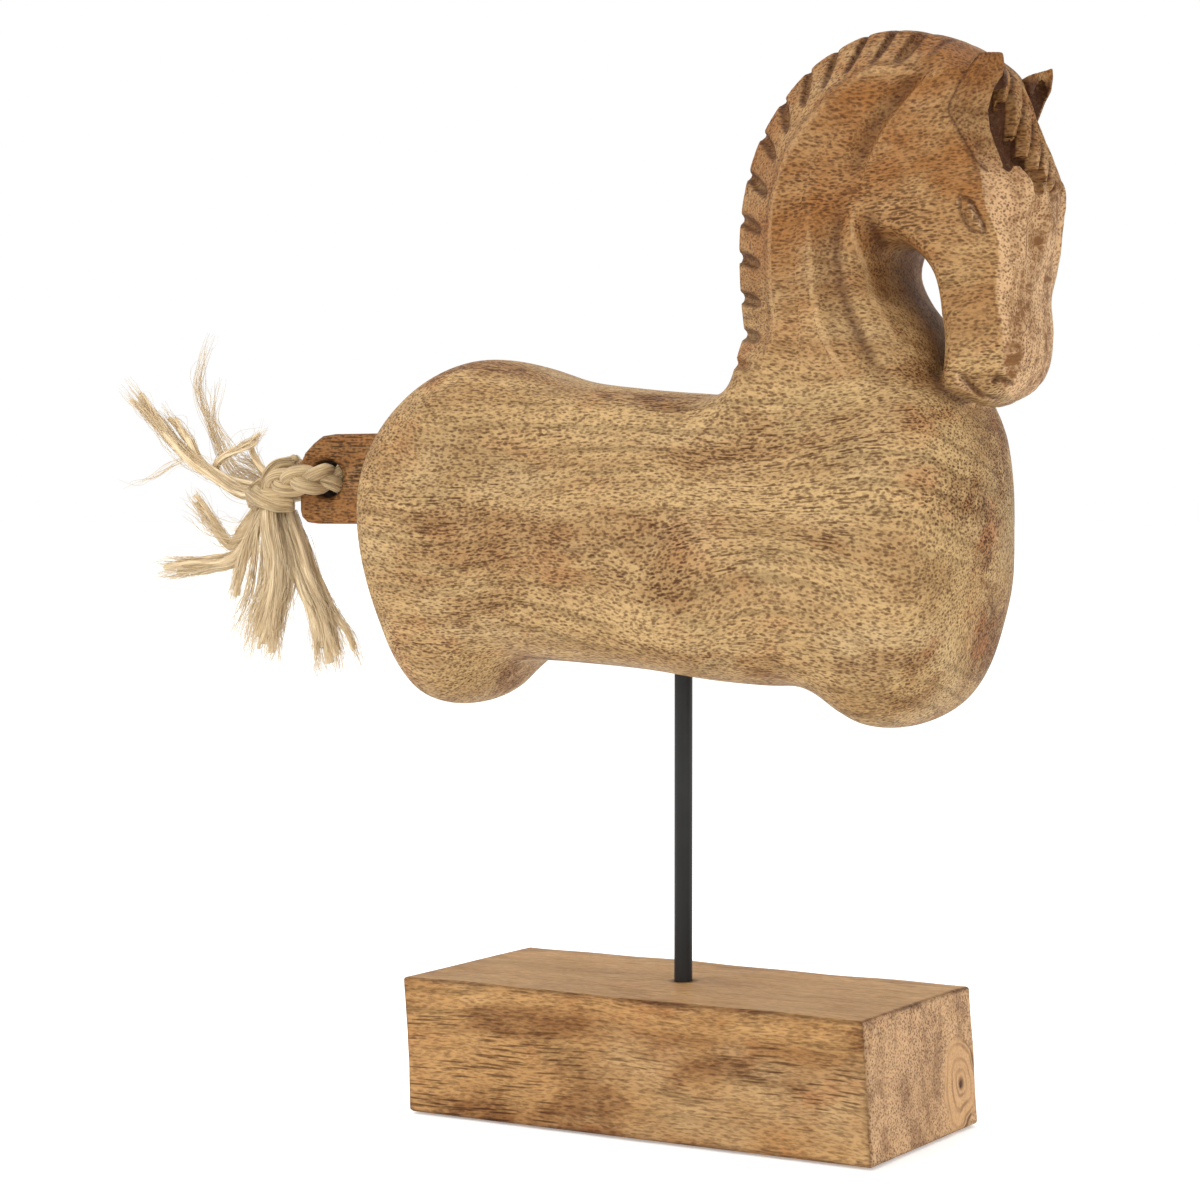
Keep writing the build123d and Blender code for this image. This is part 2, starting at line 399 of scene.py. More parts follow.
# Each frayed bundle: its locks as (points, radii, locks, lock radius, hairs, strays)
TUFTS = {
    "tail_tuft_upper_long": [
        ([(-221, -6, 276), (-232, -6, 276), (-243, -4, 278), (-257, -3, 285), (-275, -4, 296),
          (-291, -5, 311), (-304, -5, 323)], [3.0, 3.6, 3.4, 3.0, 3.0, 3.4, 5.2], 6, 1.6, 130, 14),
        ([(-224, -2, 279), (-243, -1, 281), (-260, -1, 286), (-269, -1, 292), (-274, -2, 302),
          (-286, -2, 314)], [2.0, 2.4, 2.0, 1.7, 1.7, 2.3], 3, 1.25, 45, 14),
        ([(-236, -2, 276), (-255, -2, 283), (-275, -2, 293), (-295, -3, 285), (-308, -3, 281)],
         [1.0, 1.5, 1.0, 1.2, 2.2], 0, 1.0, 9, 2),
    ],
    "tail_tuft_upper_thin": [
        ([(-228, 5, 281), (-244, 8, 280), (-256, 10, 286), (-264, 10, 297), (-272, 10, 313), (-277, 10, 328),
          (-276, 10, 337), (-273, 10, 345)], [3.0, 6.0, 6.0, 4.0, 2.6, 3.2, 3.6, 2.6], 0, 1.0, 30, 8),
        ([(-230, 6, 282), (-250, 9, 288), (-260, 10, 298), (-268, 10, 312), (-266, 10, 326)],
         [3.0, 7.0, 5.0, 3.0, 3.0], 0, 1.0, 16, 6),
    ],
    "tail_tuft_top_short": [
        ([(-222, 2, 279), (-231, 4, 284), (-238, 5, 291), (-241, 5, 298), (-238, 4, 303)],
         [2.2, 2.2, 1.8, 1.5, 1.8], 3, 1.05, 30, 8),
        ([(-236, 1, 278), (-252, 1, 282), (-260, 1, 288), (-256, 0, 293), (-247, 0, 297), (-238, 0, 301),
          (-233, 0, 304)], [1.6, 1.7, 1.5, 1.5, 1.6, 1.9, 2.3], 3, 1.05, 45, 8),
        ([(-224, 3, 279), (-234, 5, 284), (-243, 6, 288), (-252, 6, 291)],
         [2.5, 4.5, 5.5, 6.5], 0, 1.0, 55, 20),
    ],
    "tail_tuft_back": [
        ([(-226, 1, 272), (-237, 3, 268), (-246, 4, 259), (-253, 4, 251), (-259, 4, 256), (-266, 4, 264),
          (-274, 4, 273)], [3.0, 3.0, 2.8, 2.0, 2.6, 3.4, 5.2], 5, 1.35, 80, 14),
        ([(-226, -1, 270), (-235, 0, 262), (-240, 0, 252), (-248, 0, 245), (-263, 0, 242), (-277, 0, 241),
          (-289, 0, 240)], [3.4, 3.8, 3.8, 3.6, 4.0, 4.6, 5.6], 7, 1.75, 150, 16),
        ([(-228, -3, 270), (-235, -4, 257), (-240, -4, 245), (-246, -3, 229)],
         [3.2, 3.4, 2.6, 2.8], 3, 1.3, 55, 14),
        ([(-228, -2, 270), (-237, -2, 262), (-247, -2, 258), (-262, -2, 262), (-270, -2, 268)],
         [1.5, 4.0, 5.0, 6.0, 7.0], 0, 1.0, 14, 10),
    ],
    "tail_tuft_lower_back": [
        ([(-221, -8, 270), (-219, -9.5, 259), (-216, -10, 246), (-216, -10, 233), (-220, -10, 220),
          (-224, -9, 204)], [5.0, 6.0, 6.2, 6.6, 9.0, 11.5], 11, 2.1, 210, 26),
        ([(-224, -7, 269), (-226, -8, 256), (-228, -8, 243), (-231, -8, 228), (-238, -8, 212)],
         [3.0, 3.6, 4.5, 5.5, 7.0], 0, 1.0, 60, 22),
    ],
    "tail_tuft_lower_front": [
        ([(-217, -2, 270), (-213, -3, 259), (-208, -3, 246), (-202, -3, 232), (-195, -2, 217),
          (-191, -2, 199)], [5.0, 6.4, 6.4, 6.0, 7.5, 10.5], 11, 2.2, 230, 26),
        ([(-215, 2, 268), (-208, 2, 252), (-201, 2, 236), (-191, 1, 222), (-182, 0, 212), (-176, -1, 203)],
         [3.0, 3.4, 2.8, 2.2, 2.0, 2.2], 3, 1.3, 55, 12),
        ([(-216, -5, 268), (-211, -6, 252), (-209, -6, 238), (-214, -5, 224), (-220, -4, 208)],
         [2.0, 2.2, 2.2, 2.6, 3.0], 2, 1.2, 30, 10),
    ],
}


def make_tuft(name, material):
    rng = np.random.default_rng(len(name) * 101 + ord(name[-1]))
    strands = Strands()
    for points, radii, locks, lock_radius, hairs, strays in TUFTS[name]:
        bundle = Bundle(rng, points, radii)
        bundle.add_locks(strands, locks, lock_radius)
        for k in range(hairs + strays):
            bundle.add_hair(strands, stray=k >= hairs)
    return strands.build(name.replace("tail_tuft", "fibres"), material)


# ---------------------------------------------------------------- the carved horse: side outline

OUTLINE = [
    (-161, 262), (-160.5, 278), (-156, 294), (-147, 309), (-135, 321), (-121, 330), (-106, 335.5),
    (-92, 336.5), (-74, 333), (-50, 326), (-20, 322), (8, 319.5), (25, 319), (35, 325), (38, 340), (36, 362),
    (35.5, 384), (38, 404), (44.5, 424), (56, 441.5), (70, 455), (85, 463), (97, 467), (109, 468), (122, 466),
    (134, 462), (145, 455.5), (152, 449), (157, 438), (162.5, 424), (169.5, 408), (173.5, 395), (173, 382.5),
    (169, 368), (167, 357), (167.5, 349), (168.5, 341), (168.5, 333), (166.5, 325), (162, 318), (155, 313.5),
    (148, 311), (143, 311.5), (143.5, 308), (146.5, 298), (149, 282), (149.5, 262), (149, 238), (144.5, 218),
    (139, 202.5), (131.5, 190.5), (122, 182.5), (109, 177.5), (96, 177.5), (85.5, 182), (74, 189.5),
    (62, 193), (45, 193), (20, 194.5), (-10, 198), (-40, 200), (-66, 201), (-78, 199.5), (-87, 193),
    (-94.5, 186.5), (-103, 182), (-113, 180), (-124, 182.5), (-133, 189.5), (-141, 200), (-147.5, 213),
    (-154, 229), (-158.5, 245),
]
WINDOW = [
    (129.5, 326), (127, 331), (123.5, 340), (117.5, 350), (110, 359), (105.5, 368), (107, 375), (113, 377.5),
    (120, 374), (126.5, 366), (129.5, 355), (130.5, 343), (130.5, 333),
]
# (x, z, half thickness, edge radius)
STATIONS = [
    (-140, 300, 41, 27), (-145, 235, 41, 27), (-110, 200, 40, 26), (-100, 320, 43, 28), (-100, 262, 44, 30),
    (-55, 262, 43, 30), (-50, 315, 42, 26), (-50, 208, 42, 24), (0, 262, 43, 28), (10, 210, 42, 24),
    (60, 262, 43, 28), (60, 200, 43, 24), (110, 200, 42, 26), (110, 262, 44, 28), (138, 262, 42, 26),
    (130, 300, 41, 22), (60, 330, 41, 18), (90, 330, 41, 20), (60, 370, 38, 17), (85, 370, 38, 18),
    (60, 410, 36, 16), (85, 420, 36, 18), (95, 450, 34, 16), (120, 440, 34, 15), (130, 415, 35.5, 14),
    (120, 395, 35.5, 12), (150, 430, 34.5, 12), (160, 400, 34, 11), (145, 380, 33, 11), (160, 370, 29, 10),
    (142, 355, 27, 10), (165, 350, 26, 10), (140, 335, 24, 10), (165, 332, 23, 11), (152, 318, 20, 9),
]
PLAN_LOW = np.array([-185.0, 165.0])
PLAN_HIGH = np.array([192.0, 485.0])
PLAN_STEP = 0.75
CREST = OUTLINE[13:27]


def plan_grid():
    xs = np.arange(PLAN_LOW[0], PLAN_HIGH[0], PLAN_STEP)
    zs = np.arange(PLAN_LOW[1], PLAN_HIGH[1], PLAN_STEP)
    return np.meshgrid(xs, zs, indexing="ij")


PLAN_X, PLAN_Z = plan_grid()


def path_distance(path, x, z, reach=None):
    """Distance to a run of points and the share of its length at the nearest place.

    Beyond reach, if given, the distance is left at a large number; x and z are then the side view's own.
    """
    best = np.full(x.shape, 1e3)
    share = np.zeros(x.shape)
    lengths = np.hypot(*np.diff(path, axis=0).T)
    total = lengths.sum()
    passed = 0.0
    for (x0, z0), (x1, z1), length in zip(path, path[1:], lengths):
        window = ...
        if reach is not None:
            low = ((min(x0, x1), min(z0, z1)) - PLAN_LOW - reach) / PLAN_STEP
            high = ((max(x0, x1), max(z0, z1)) - PLAN_LOW + reach) / PLAN_STEP + 1
            window = tuple(slice(max(int(a), 0), max(int(b), 0)) for a, b in zip(low, high))
        px, pz = x[window] - x0, z[window] - z0
        dx, dz = (x1 - x0) / length, (z1 - z0) / length
        along = np.clip(px * dx + pz * dz, 0, length)
        away = np.hypot(px - along * dx, pz - along * dz)
        nearer = away < best[window]
        best[window] = np.where(nearer, away, best[window])
        share[window] = np.where(nearer, (passed + along) / total, share[window])
        passed += length
    return best, share


def inside_loop(path, x, z):
    """Even-odd test against a closed run of points."""
    inside = np.zeros(x.shape, bool)
    for (x0, z0), (x1, z1) in zip(path, np.roll(path, -1, axis=0)):
        if z0 == z1:
            continue
        crosses = (z0 > z) != (z1 > z)
        inside ^= crosses & (x < (x1 - x0) * (z - z0) / (z1 - z0) + x0)
    return inside


def loop_distance(loop, x, z):
    """Distance to a closed run of points, below zero inside it."""
    away, _ = path_distance(np.vstack([loop, loop[:1]]), x, z)
    return np.where(inside_loop(loop, x, z), -away, away)


def signed_distance(points, steps=6):
    """The same over the side view, for a smooth loop through the points."""
    return loop_distance(catmull(points, steps, closed=True), PLAN_X, PLAN_Z)


def spread(column):
    """Smooth blend of one station value over the side view."""
    total = np.zeros(PLAN_X.shape)
    weight = np.zeros(PLAN_X.shape)
    for station in STATIONS:
        near = 1 / ((PLAN_X - station[0]) ** 2 + (PLAN_Z - station[1]) ** 2 + 80) ** 2
        total += near * station[column]
        weight += near
    return total / weight


# Width in millimetres of the painted highlight lines along the ridges
HIGHLIGHT_WIDTH = 1.1


class Relief:
    """What is carved on both sides, as maps over the side view.

    Height is off the plain side. The burn map is painted shade in the grooves and cuts, and the light map a
    painted highlight along the ridges. Nick cuts into the outline. Mane is how far out the mane's bevel lets
    the wood reach, and scoop how deep it is cut in there.
    """

    def __init__(self):
        self.height = np.zeros(PLAN_X.shape)
        self.burn_and_shade = np.zeros(PLAN_X.shape)
        self.light = np.zeros(PLAN_X.shape)
        self.nick = np.zeros(PLAN_X.shape)
        self.mane = np.zeros(PLAN_X.shape)
        self.scoop = np.zeros(PLAN_X.shape)

    def paint_shade(self, amount):
        self.burn_and_shade = np.maximum(self.burn_and_shade, amount)

    def paint_highlight(self, amount):
        self.light = np.maximum(self.light, amount)

    def stroke(self, points, height, width, burn_and_shade=0.0, shade_width=None, light=0.0, ends=(0.15, 0.15)):
        """Soft ridge (height above 0) or groove that fades at its ends.

        Burn draws a line of painted shade along it, light a line of painted highlight.
        """
        path = catmull(points, 6, closed=False)
        away, share = path_distance(path, PLAN_X, PLAN_Z, reach=4 * max(width, shade_width or 0))
        fade = smooth_steps(share / max(ends[0], 1e-3)) * smooth_steps((1 - share) / max(ends[1], 1e-3))
        self.height += height * bell(away / width) * fade
        self.paint_highlight(light * bell(away / HIGHLIGHT_WIDTH) * fade)
        if burn_and_shade:
            self.paint_shade(burn_and_shade * bell(away / (shade_width or width)) * fade)


relief = Relief()


# ---------------------------------------------------------------- the carved horse: mane, neck and face

# The mane is a bevel between the neck's side and the flat top of the crest, cut across by leaf-shaped scoops.
# Its width runs from the withers (share 0) to the poll (share 1).
MANE_WIDTH = [(0.0, 22.0), (0.62, 22.5), (0.82, 17.0), (1.0, 13.5)]
MANE_SIDE = 33.5
MANE_TOP = 16.5
# Limit where there is no mane: further out than any wood
NO_BEVEL = 90.0
# (x, z) at the crest, (x, z) at the bevel's inner edge, half width of the scoop
SCOOPS = [
    ((134, 461), (132, 448), 1.2),
    ((122, 465), (118, 450), 2.9),
    ((110, 467), (107, 451), 1.5),
    ((97, 465), (94, 448), 1.6),
    ((83, 460), (83, 443), 1.8),
    ((70, 453), (73, 436), 2.2),
    ((57, 442), (66, 426), 2.3),
    ((47, 428), (61, 415), 2.3),
    ((41, 411), (58, 400), 2.4),
    ((36, 393), (55, 385), 2.5),
    ((34, 377), (54, 371), 2.4),
    ((34, 360), (54, 355), 2.5),
    ((35, 344), (55, 340), 2.4),
    ((37, 331), (56, 327), 2.1),
]
SCOOP_DEPTH = 3.0


def carve_bevel():
    """The bevel, with a groove, a ridge and a hollow beside its inner edge. Returns where it lies."""
    crest = catmull(CREST, 10, closed=False)
    away, share = path_distance(crest, PLAN_X, PLAN_Z, reach=40)
    width = np.interp(share, *zip(*MANE_WIDTH))
    within = smooth_steps(share / 0.10) * smooth_steps((1 - share) / 0.08) * (away < 39)
    plain = signed_distance(OUTLINE)
    limit = MANE_TOP - (MANE_SIDE - MANE_TOP) * plain / width + 14 * (1 - within)
    relief.mane = np.where((away < width + 10) & (within > 0), limit, NO_BEVEL)
    groove = bell((away - width - 0.4) / 0.8) * within
    # Painted shade in the groove beside the bevel.
    relief.paint_shade(0.60 * groove)
    relief.height -= 1.0 * groove
    ridge = bell((away - width - 3.6) / 2.2) * within
    relief.height += 1.5 * ridge
    # Painted highlight along the ridge.
    relief.paint_highlight(0.40 * ridge**2)
    relief.height -= 1.6 * bell((away - width - 14.0) / 6.5) * within
    return (away < width + 0.5) * within


def carve_scoop(top, bottom, half_width, on_bevel):
    """Leaf-shaped cut across the bevel, and the nick that it leaves in the crest.

    Painted shade lies along its rim, on its lower side and over its floor, deeper in the narrow cuts.
    """
    (x0, z0), (x1, z1) = top, bottom
    length = math.hypot(x1 - x0, z1 - z0)
    dx, dz = (x1 - x0) / length, (z1 - z0) / length
    along = (PLAN_X - x0) * dx + (PLAN_Z - z0) * dz
    aside = (PLAN_X - x0) * dz - (PLAN_Z - z0) * dx + 0.07 * along * (1 - along / length)
    t = (along + 1.5) / (length + 1.5)
    leaf = np.where((t > 0) & (t < 1), 4 * t * (1 - t), 0)
    half = half_width * np.sqrt(leaf) + 1e-3
    across = np.clip(aside / half, -1.6, 1.6)
    scoop = np.clip(1 - across**2, 0, 1) * (leaf > 0)
    depth = SCOOP_DEPTH * min(1.0, half_width / 1.8)
    relief.scoop = np.maximum(relief.scoop, depth * np.sqrt(scoop) * leaf**0.3)
    # Painted shade: the cut's rim, its lower side and its floor, darkest in the narrow cuts.
    rim = bell((np.abs(aside) - half) / 0.75) * (leaf > 0.04)
    lower = bell((across + 0.45) / 0.5) * (leaf > 0.04)
    floor = (0.95 if half_width < 1.7 else 0.45) * scoop
    relief.paint_shade(np.maximum.reduce([0.95 * rim, floor, 0.8 * lower]) * on_bevel)
    relief.nick += 0.8 * bell(aside / (0.8 * half_width)) * (np.abs(along) < 7)


def carve_mane():
    on_bevel = carve_bevel()
    for top, bottom, half_width in SCOOPS:
        carve_scoop(top, bottom, half_width, on_bevel)


def carve_neck():
    # Hollow behind the poll, then the lines that run down the neck: painted shade in the grooves and painted
    # highlights along the ridges.
    relief.stroke([(143, 450), (132, 447), (122, 441), (113, 432), (105, 420), (100, 408), (97, 397)],
                  -4.2, 5.0, burn_and_shade=0.55, shade_width=3.6, ends=(0.3, 0.3))
    relief.stroke([(148, 448), (137, 445), (125, 437), (115, 425), (108, 412), (105, 400), (106, 389),
                   (110, 380)], 1.9, 2.0, light=0.35, ends=(0.15, 0.5))
    relief.stroke([(80, 404), (81, 384), (82, 366), (84, 354), (89, 341), (96, 329), (104, 318), (112, 309)],
                  2.4, 1.6, light=0.9, ends=(0.35, 0.3))
    relief.stroke([(86, 396), (86.5, 376), (89, 356), (94, 342), (101, 329)],
                  -1.8, 3.2, burn_and_shade=0.30, shade_width=3.6, ends=(0.3, 0.3))
    relief.stroke([(99, 405), (93, 393), (91, 376), (93, 361), (99, 347), (106, 334), (114, 321), (120, 311)],
                  -4.0, 4.0, burn_and_shade=0.75, shade_width=2.6, ends=(0.25, 0.3))
    relief.stroke([(103, 402), (100, 386), (101, 371), (105, 358), (112, 346), (119, 334), (126, 323)],
                  2.1, 2.2, light=0.6, ends=(0.25, 0.3))
    relief.stroke([(107, 396), (107, 384), (106, 373), (108, 362), (114, 352)], -2.8, 3.0,
                  burn_and_shade=0.9, shade_width=3.0, ends=(0.3, 0.3))
    relief.stroke([(126, 328), (133, 319), (139, 314), (146, 310.5), (154, 308)], -5.0, 3.0,
                  burn_and_shade=0.9, shade_width=2.0, ends=(0.1, 0.05))


def carve_face():
    # The jaw disc stands a little proud of the throat.
    relief.stroke([(150, 438), (140, 436), (130, 426), (123, 412), (122, 398), (128, 386)],
                  1.4, 9.0, ends=(0.3, 0.3))
    relief.stroke([(148, 384), (144, 372), (141, 360), (140, 346)], -1.4, 6.0, ends=(0.3, 0.3))
    relief.stroke([(135, 368), (134, 356), (134, 342)], 0.9, 3.0, ends=(0.3, 0.3))
    # Eye: a raised almond with an incised outline and an iris, with painted shade in the incised lines.
    upper = [(146.2, 394.5), (149.8, 393.7), (153.0, 390.2), (155.2, 385.2), (156.2, 379.5)]
    lower = [(146.2, 394.5), (146.4, 389.6), (148.2, 385), (151.1, 381.6), (156.2, 379.5)]
    relief.stroke([(148.6, 391.5), (151.3, 387), (153.2, 382.8)], 1.7, 3.8, ends=(0.1, 0.1))
    relief.stroke(upper, -1.4, 0.95, burn_and_shade=0.95, shade_width=0.85, ends=(0.04, 0.04))
    relief.stroke(lower, -1.2, 0.9, burn_and_shade=0.85, shade_width=0.75, ends=(0.04, 0.04))
    iris = [(151.2 + 2.3 * math.cos(a), 387.2 + 2.8 * math.sin(a)) for a in np.linspace(0, 2 * math.pi, 13)]
    relief.stroke(iris, -0.9, 0.65, burn_and_shade=0.75, shade_width=0.6, ends=(0, 0))
    # Nostril, with painted shade in its cut.
    relief.stroke([(154.5, 320.2), (156, 321.8), (158.5, 322), (160.5, 320.8), (161, 319)], -2.4, 1.2,
                  burn_and_shade=0.95, shade_width=1.1, ends=(0.1, 0.1))
    relief.stroke([(153.5, 322), (156, 324.5), (160, 324.5), (163, 321.5)], 1.0, 1.4, ends=(0.2, 0.2))
    # Mouth with its lower lip, with painted shade in the cut.
    relief.stroke([(141, 325), (145, 320), (148.5, 316.5), (153.5, 313.8), (159, 313)], -2.2, 1.3,
                  burn_and_shade=0.9, shade_width=1.2, ends=(0.15, 0.1))
    relief.stroke([(139, 321), (143.5, 316), (149, 312.5), (155, 311.5)], 0.9, 1.8, ends=(0.3, 0.3))
    # Line from the ear down past the temple, where the side meets the brow's slanted facet,
    # with painted shade along it.
    relief.stroke([(142.2, 430), (145.7, 422.3), (149.5, 416), (153, 408), (155.5, 401), (158.5, 392)],
                  -0.6, 0.9, burn_and_shade=0.8, shade_width=0.9, ends=(0.02, 0.5))


def carve_by_hand():
    """Shallow facets that the knife and sander leave."""
    x, z = PLAN_X, PLAN_Z
    relief.height += 0.45 * np.sin(x / 23 + 0.7 * np.sin(z / 31)) * np.sin(z / 19 + 0.5 * np.sin(x / 41))
    relief.height += 0.22 * np.sin(x / 9.5 + 1.3 * np.sin(z / 17)) * np.sin(z / 11.3 + np.sin(x / 13))


carve_mane()
carve_neck()
carve_face()
carve_by_hand()

OUTSIDE = np.maximum(signed_distance(OUTLINE), -signed_distance(WINDOW)) + relief.nick
THICKNESS = spread(2) + relief.height
EDGE_RADIUS = spread(3)
# Near side of the ear's block: undercut back edge, then the temple.
EAR_OUTLINE = [
    (161, 459), (156.5, 453), (151.2, 446), (146.5, 439), (143.2, 433), (142.2, 430), (143.2, 427),
    (148.5, 418), (156, 406), (166, 402), (166, 416), (164.5, 430), (163.5, 444), (163, 457),
]
EAR_PLAN = signed_distance(EAR_OUTLINE, 3)
MAPS = np.stack([
    OUTSIDE, THICKNESS, EDGE_RADIUS, relief.burn_and_shade, EAR_PLAN, relief.mane, relief.scoop, relief.light,
], axis=-1)


def read_maps(x, z):
    """Bilinear reading of the side-view maps."""
    u = np.clip((x - PLAN_LOW[0]) / PLAN_STEP, 0, PLAN_X.shape[0] - 1.001)
    w = np.clip((z - PLAN_LOW[1]) / PLAN_STEP, 0, PLAN_X.shape[1] - 1.001)
    i, j = u.astype(int), w.astype(int)
    u, w = (u - i)[:, None], (w - j)[:, None]
    low = MAPS[i, j] * (1 - u) + MAPS[i + 1, j] * u
    high = MAPS[i, j + 1] * (1 - u) + MAPS[i + 1, j + 1] * u
    return (low * (1 - w) + high * w).T


# ---------------------------------------------------------------- the carved horse: solid

SIDE_POWER = 2.3
LOCK_RISE = 3.0
# Brow and nose: per height, where the slanted facet leaves the side and where it meets the front, as (x, y)
FACET = [
    (318, (158, 25), (167, 17)),
    (330, (163, 24), (168, 17.5)),
    (345, (164.5, 24), (168.5, 18)),
    (370, (164.5, 24.5), (168.5, 18)),
    (382, (163.5, 27), (170.2, 18)),
    (392, (160, 31), (171.3, 18)),
    (402, (155.3, 34.5), (169, 20)),
    (408, (152.6, 35.8), (165, 22)),
    (416, (149.3, 36.5), (159.8, 24)),
    (422, (146.0, 36.8), (157.2, 24.6)),
    (430, (142.5, 36.8), (156.0, 25)),
    (436, (144.8, 36.8), (157.6, 26.2)),
    (443, (149.2, 36.8), (159.6, 27.4)),
    (449, (153.4, 36.8), (160.4, 28)),
    (456, (158.6, 36.8), (160.8, 28)),
]
# Forelock: strand edges as heights on the middle line; every strand falls outwards by FORELOCK_FALL per mm.
FORELOCK_EDGES = np.array([388.0, 397, 405, 413, 421.5, 431.5, 443.5, 458, 476])
FORELOCK_FALL = 1.5
BROW_FALL = 0.026


def slot(x, y, z, a, b, radius):
    """Field of a leaf-shaped bar, pointed at both ends."""
    a, b = np.asarray(a, float), np.asarray(b, float)
    run = b - a
    t = ((x - a[0]) * run[0] + (y - a[1]) * run[1] + (z - a[2]) * run[2]) / (run @ run)
    t = np.clip(t, 0, 1)
    away = np.sqrt((x - a[0] - t * run[0]) ** 2 + (y - a[1] - t * run[1]) ** 2 + (z - a[2] - t * run[2]) ** 2)
    return away - radius * np.sqrt(np.clip(4 * t * (1 - t), 0, 1)) ** 1.2


def horse_field(points):
    """Below zero inside the wood. About a distance in millimetres near the surface."""
    x, side, z = points[:, 0], points[:, 1], points[:, 2]
    y = np.abs(side)
    outside, thick, radius, _, ear_plan, mane, scoop, _ = read_maps(x, z)
    u = np.clip((radius + outside) / radius, 0, None)
    v = y / thick
    size = (u**SIDE_POWER + v**SIDE_POWER) ** (1 / SIDE_POWER)
    slope = np.hypot(u ** (SIDE_POWER - 1) / radius, v ** (SIDE_POWER - 1) / thick)
    slope /= np.maximum(size, 1e-3) ** (SIDE_POWER - 1)
    field = (size - 1) / np.maximum(slope, 1 / 45)
    field = soft_max(field, 0.8 * (y - mane) + scoop, 0.7)
    head = (x > 120) & (z > 300)
    if head.any():
        field[head] = head_field(x[head], y[head], z[head], field[head], outside[head], ear_plan[head])
    return field


def facet_field(x, y, z):
    """Above zero outside the slanted plane between the side and the front of the head."""
    heights = [row[0] for row in FACET]
    x0, y0, x1, y1 = (
        np.interp(z, heights, [row[side][axis] for row in FACET]) for side in (1, 2) for axis in (0, 1)
    )
    length = np.hypot(x1 - x0, y0 - y1)
    return ((x - x0) * (y0 - y1) + (y - y0) * (x1 - x0)) / length


def head_field(x, y, z, field, outside, ear_plan):
    """Ears, forelock, brow facets and nostrils."""
    facet = facet_field(x, y, z)
    chin = 6 * smooth_steps((328 - z) / 12)
    field = soft_max(field, facet - chin, 0.45)
    # Shallow channel down the front beside the facet.
    channel = 9.4 - np.hypot(x - 177.0, y - 13.6)
    fade = smooth_steps((398 - z) / 16) * smooth_steps((z - 330) / 14)
    field = soft_max(field, channel - 3 * (1 - fade), 0.8)
    # Brow: a roof that falls back from the forelock on both sides.
    roof = outside + BROW_FALL * np.minimum(y, 17) ** 2 + 1.6
    field = soft_max(field, roof - 14 * (1 - smooth_steps((1 - ear_plan) / 5)), 0.8)
    # Ears: blocks that stand proud of the side, cut by the same facet.
    ear = soft_max(ear_plan, y - 36.8, 1.0)
    ear = soft_max(ear, facet, 0.9)
    ear = soft_max(ear, 404 - z, 4.0)
    inner = 24.5 - 13 * smooth_steps((z - 434) / 8) * smooth_steps((160 - x) / 2.5)
    ear = soft_max(ear, inner - y, 2.5)
    ear = soft_max(ear, z - 450.5 - 0.18 * (y - 12) + 0.45 * (162 - x), 1.0)
    field = soft_min(field, ear, 0.7)
    field = soft_max(field, -ear_hollow(x, y, z), 1.3)
    field = soft_min(field, forelock(x, y, z, outside), 0.4)
    return field


def strand_share(y, z):
    """Which strand of the forelock a place belongs to, as a growing number: whole at the edges."""
    return np.interp(z + FORELOCK_FALL * (y - 4), FORELOCK_EDGES, np.arange(len(FORELOCK_EDGES)))


def forelock(x, y, z, outside):
    """Overlapping leaf-shaped strands down the middle of the brow."""
    share = strand_share(y, z) % 1
    leaf = np.clip(4 * share * (1 - share), 0, 1)
    point = np.minimum(share / 0.24, (1 - share) / 0.76)
    height = LOCK_RISE * smooth_steps((454 - z) / 10) * smooth_steps((z - 394) / 8)
    reach = 6.4 + 8.6 * point * smooth_steps((z - 392) / 14)
    reach *= 0.40 + 0.60 * smooth_steps((z - 394) / 18)
    rise = height * (0.05 + 0.85 * leaf**0.7 + 0.45 * share)
    strip = soft_max(outside + BROW_FALL * y**2 - rise, (y - reach) / 1.4, 0.5)
    strip = soft_max(strip, -14 - outside, 2.0)
    strip = soft_max(strip, 397 - z, 2.0)
    return soft_max(strip, 146 - x, 1.0)


def ear_hollow(x, y, z):
    """Leaf-shaped hollow between the ear and the forelock, below zero inside it."""
    return slot(x, y, z, (155.0, 22.5, 449), (172.0, 10.5, 396), 8.0)


def crossings(grid, values):
    """For every cell, the sum and the number of the places where its edges cross the zero surface."""
    shape = np.array(values.shape) - 1
    total = np.zeros((*shape, 3))
    count = np.zeros(shape)
    for axis in range(3):
        others = [i for i in range(3) if i != axis]
        for shift in product((0, 1), repeat=2):
            first = [None] * 3
            first[axis] = slice(0, shape[axis])
            for other, offset in zip(others, shift):
                first[other] = slice(offset, shape[other] + offset)
            second = list(first)
            second[axis] = slice(1, shape[axis] + 1)
            a, b = values[tuple(first)], values[tuple(second)]
            crossed = (a < 0) != (b < 0)
            t = np.where(crossed, a / np.where(crossed, a - b, 1), 0)[..., None]
            place = grid[tuple(first)] * (1 - t) + grid[tuple(second)] * t
            total += np.where(crossed[..., None], place, 0)
            count += crossed
    return total, count


def net_faces(inside, index):
    """Quads between the four cells round every edge of the grid that passes through the surface."""
    shape = index.shape
    faces = []
    for axis in range(3):
        one, two = (axis + 1) % 3, (axis + 2) % 3
        inner = [slice(1, n) for n in shape]
        inner[axis] = slice(0, shape[axis])
        ahead = list(inner)
        ahead[axis] = slice(1, shape[axis] + 1)
        a, b = inside[tuple(inner)], inside[tuple(ahead)]
        for wanted, order in ((a & ~b, 1), (~a & b, -1)):
            cell = np.argwhere(wanted)
            for other in (one, two):
                cell[:, other] += 1
            ring = []
            for d1, d2 in ((-1, -1), (0, -1), (0, 0), (-1, 0))[::order]:
                at = cell.copy()
                at[:, one] += d1
                at[:, two] += d2
                ring.append(index[tuple(at.T)])
            faces.append(np.stack(ring, axis=1))
    return np.vstack(faces)


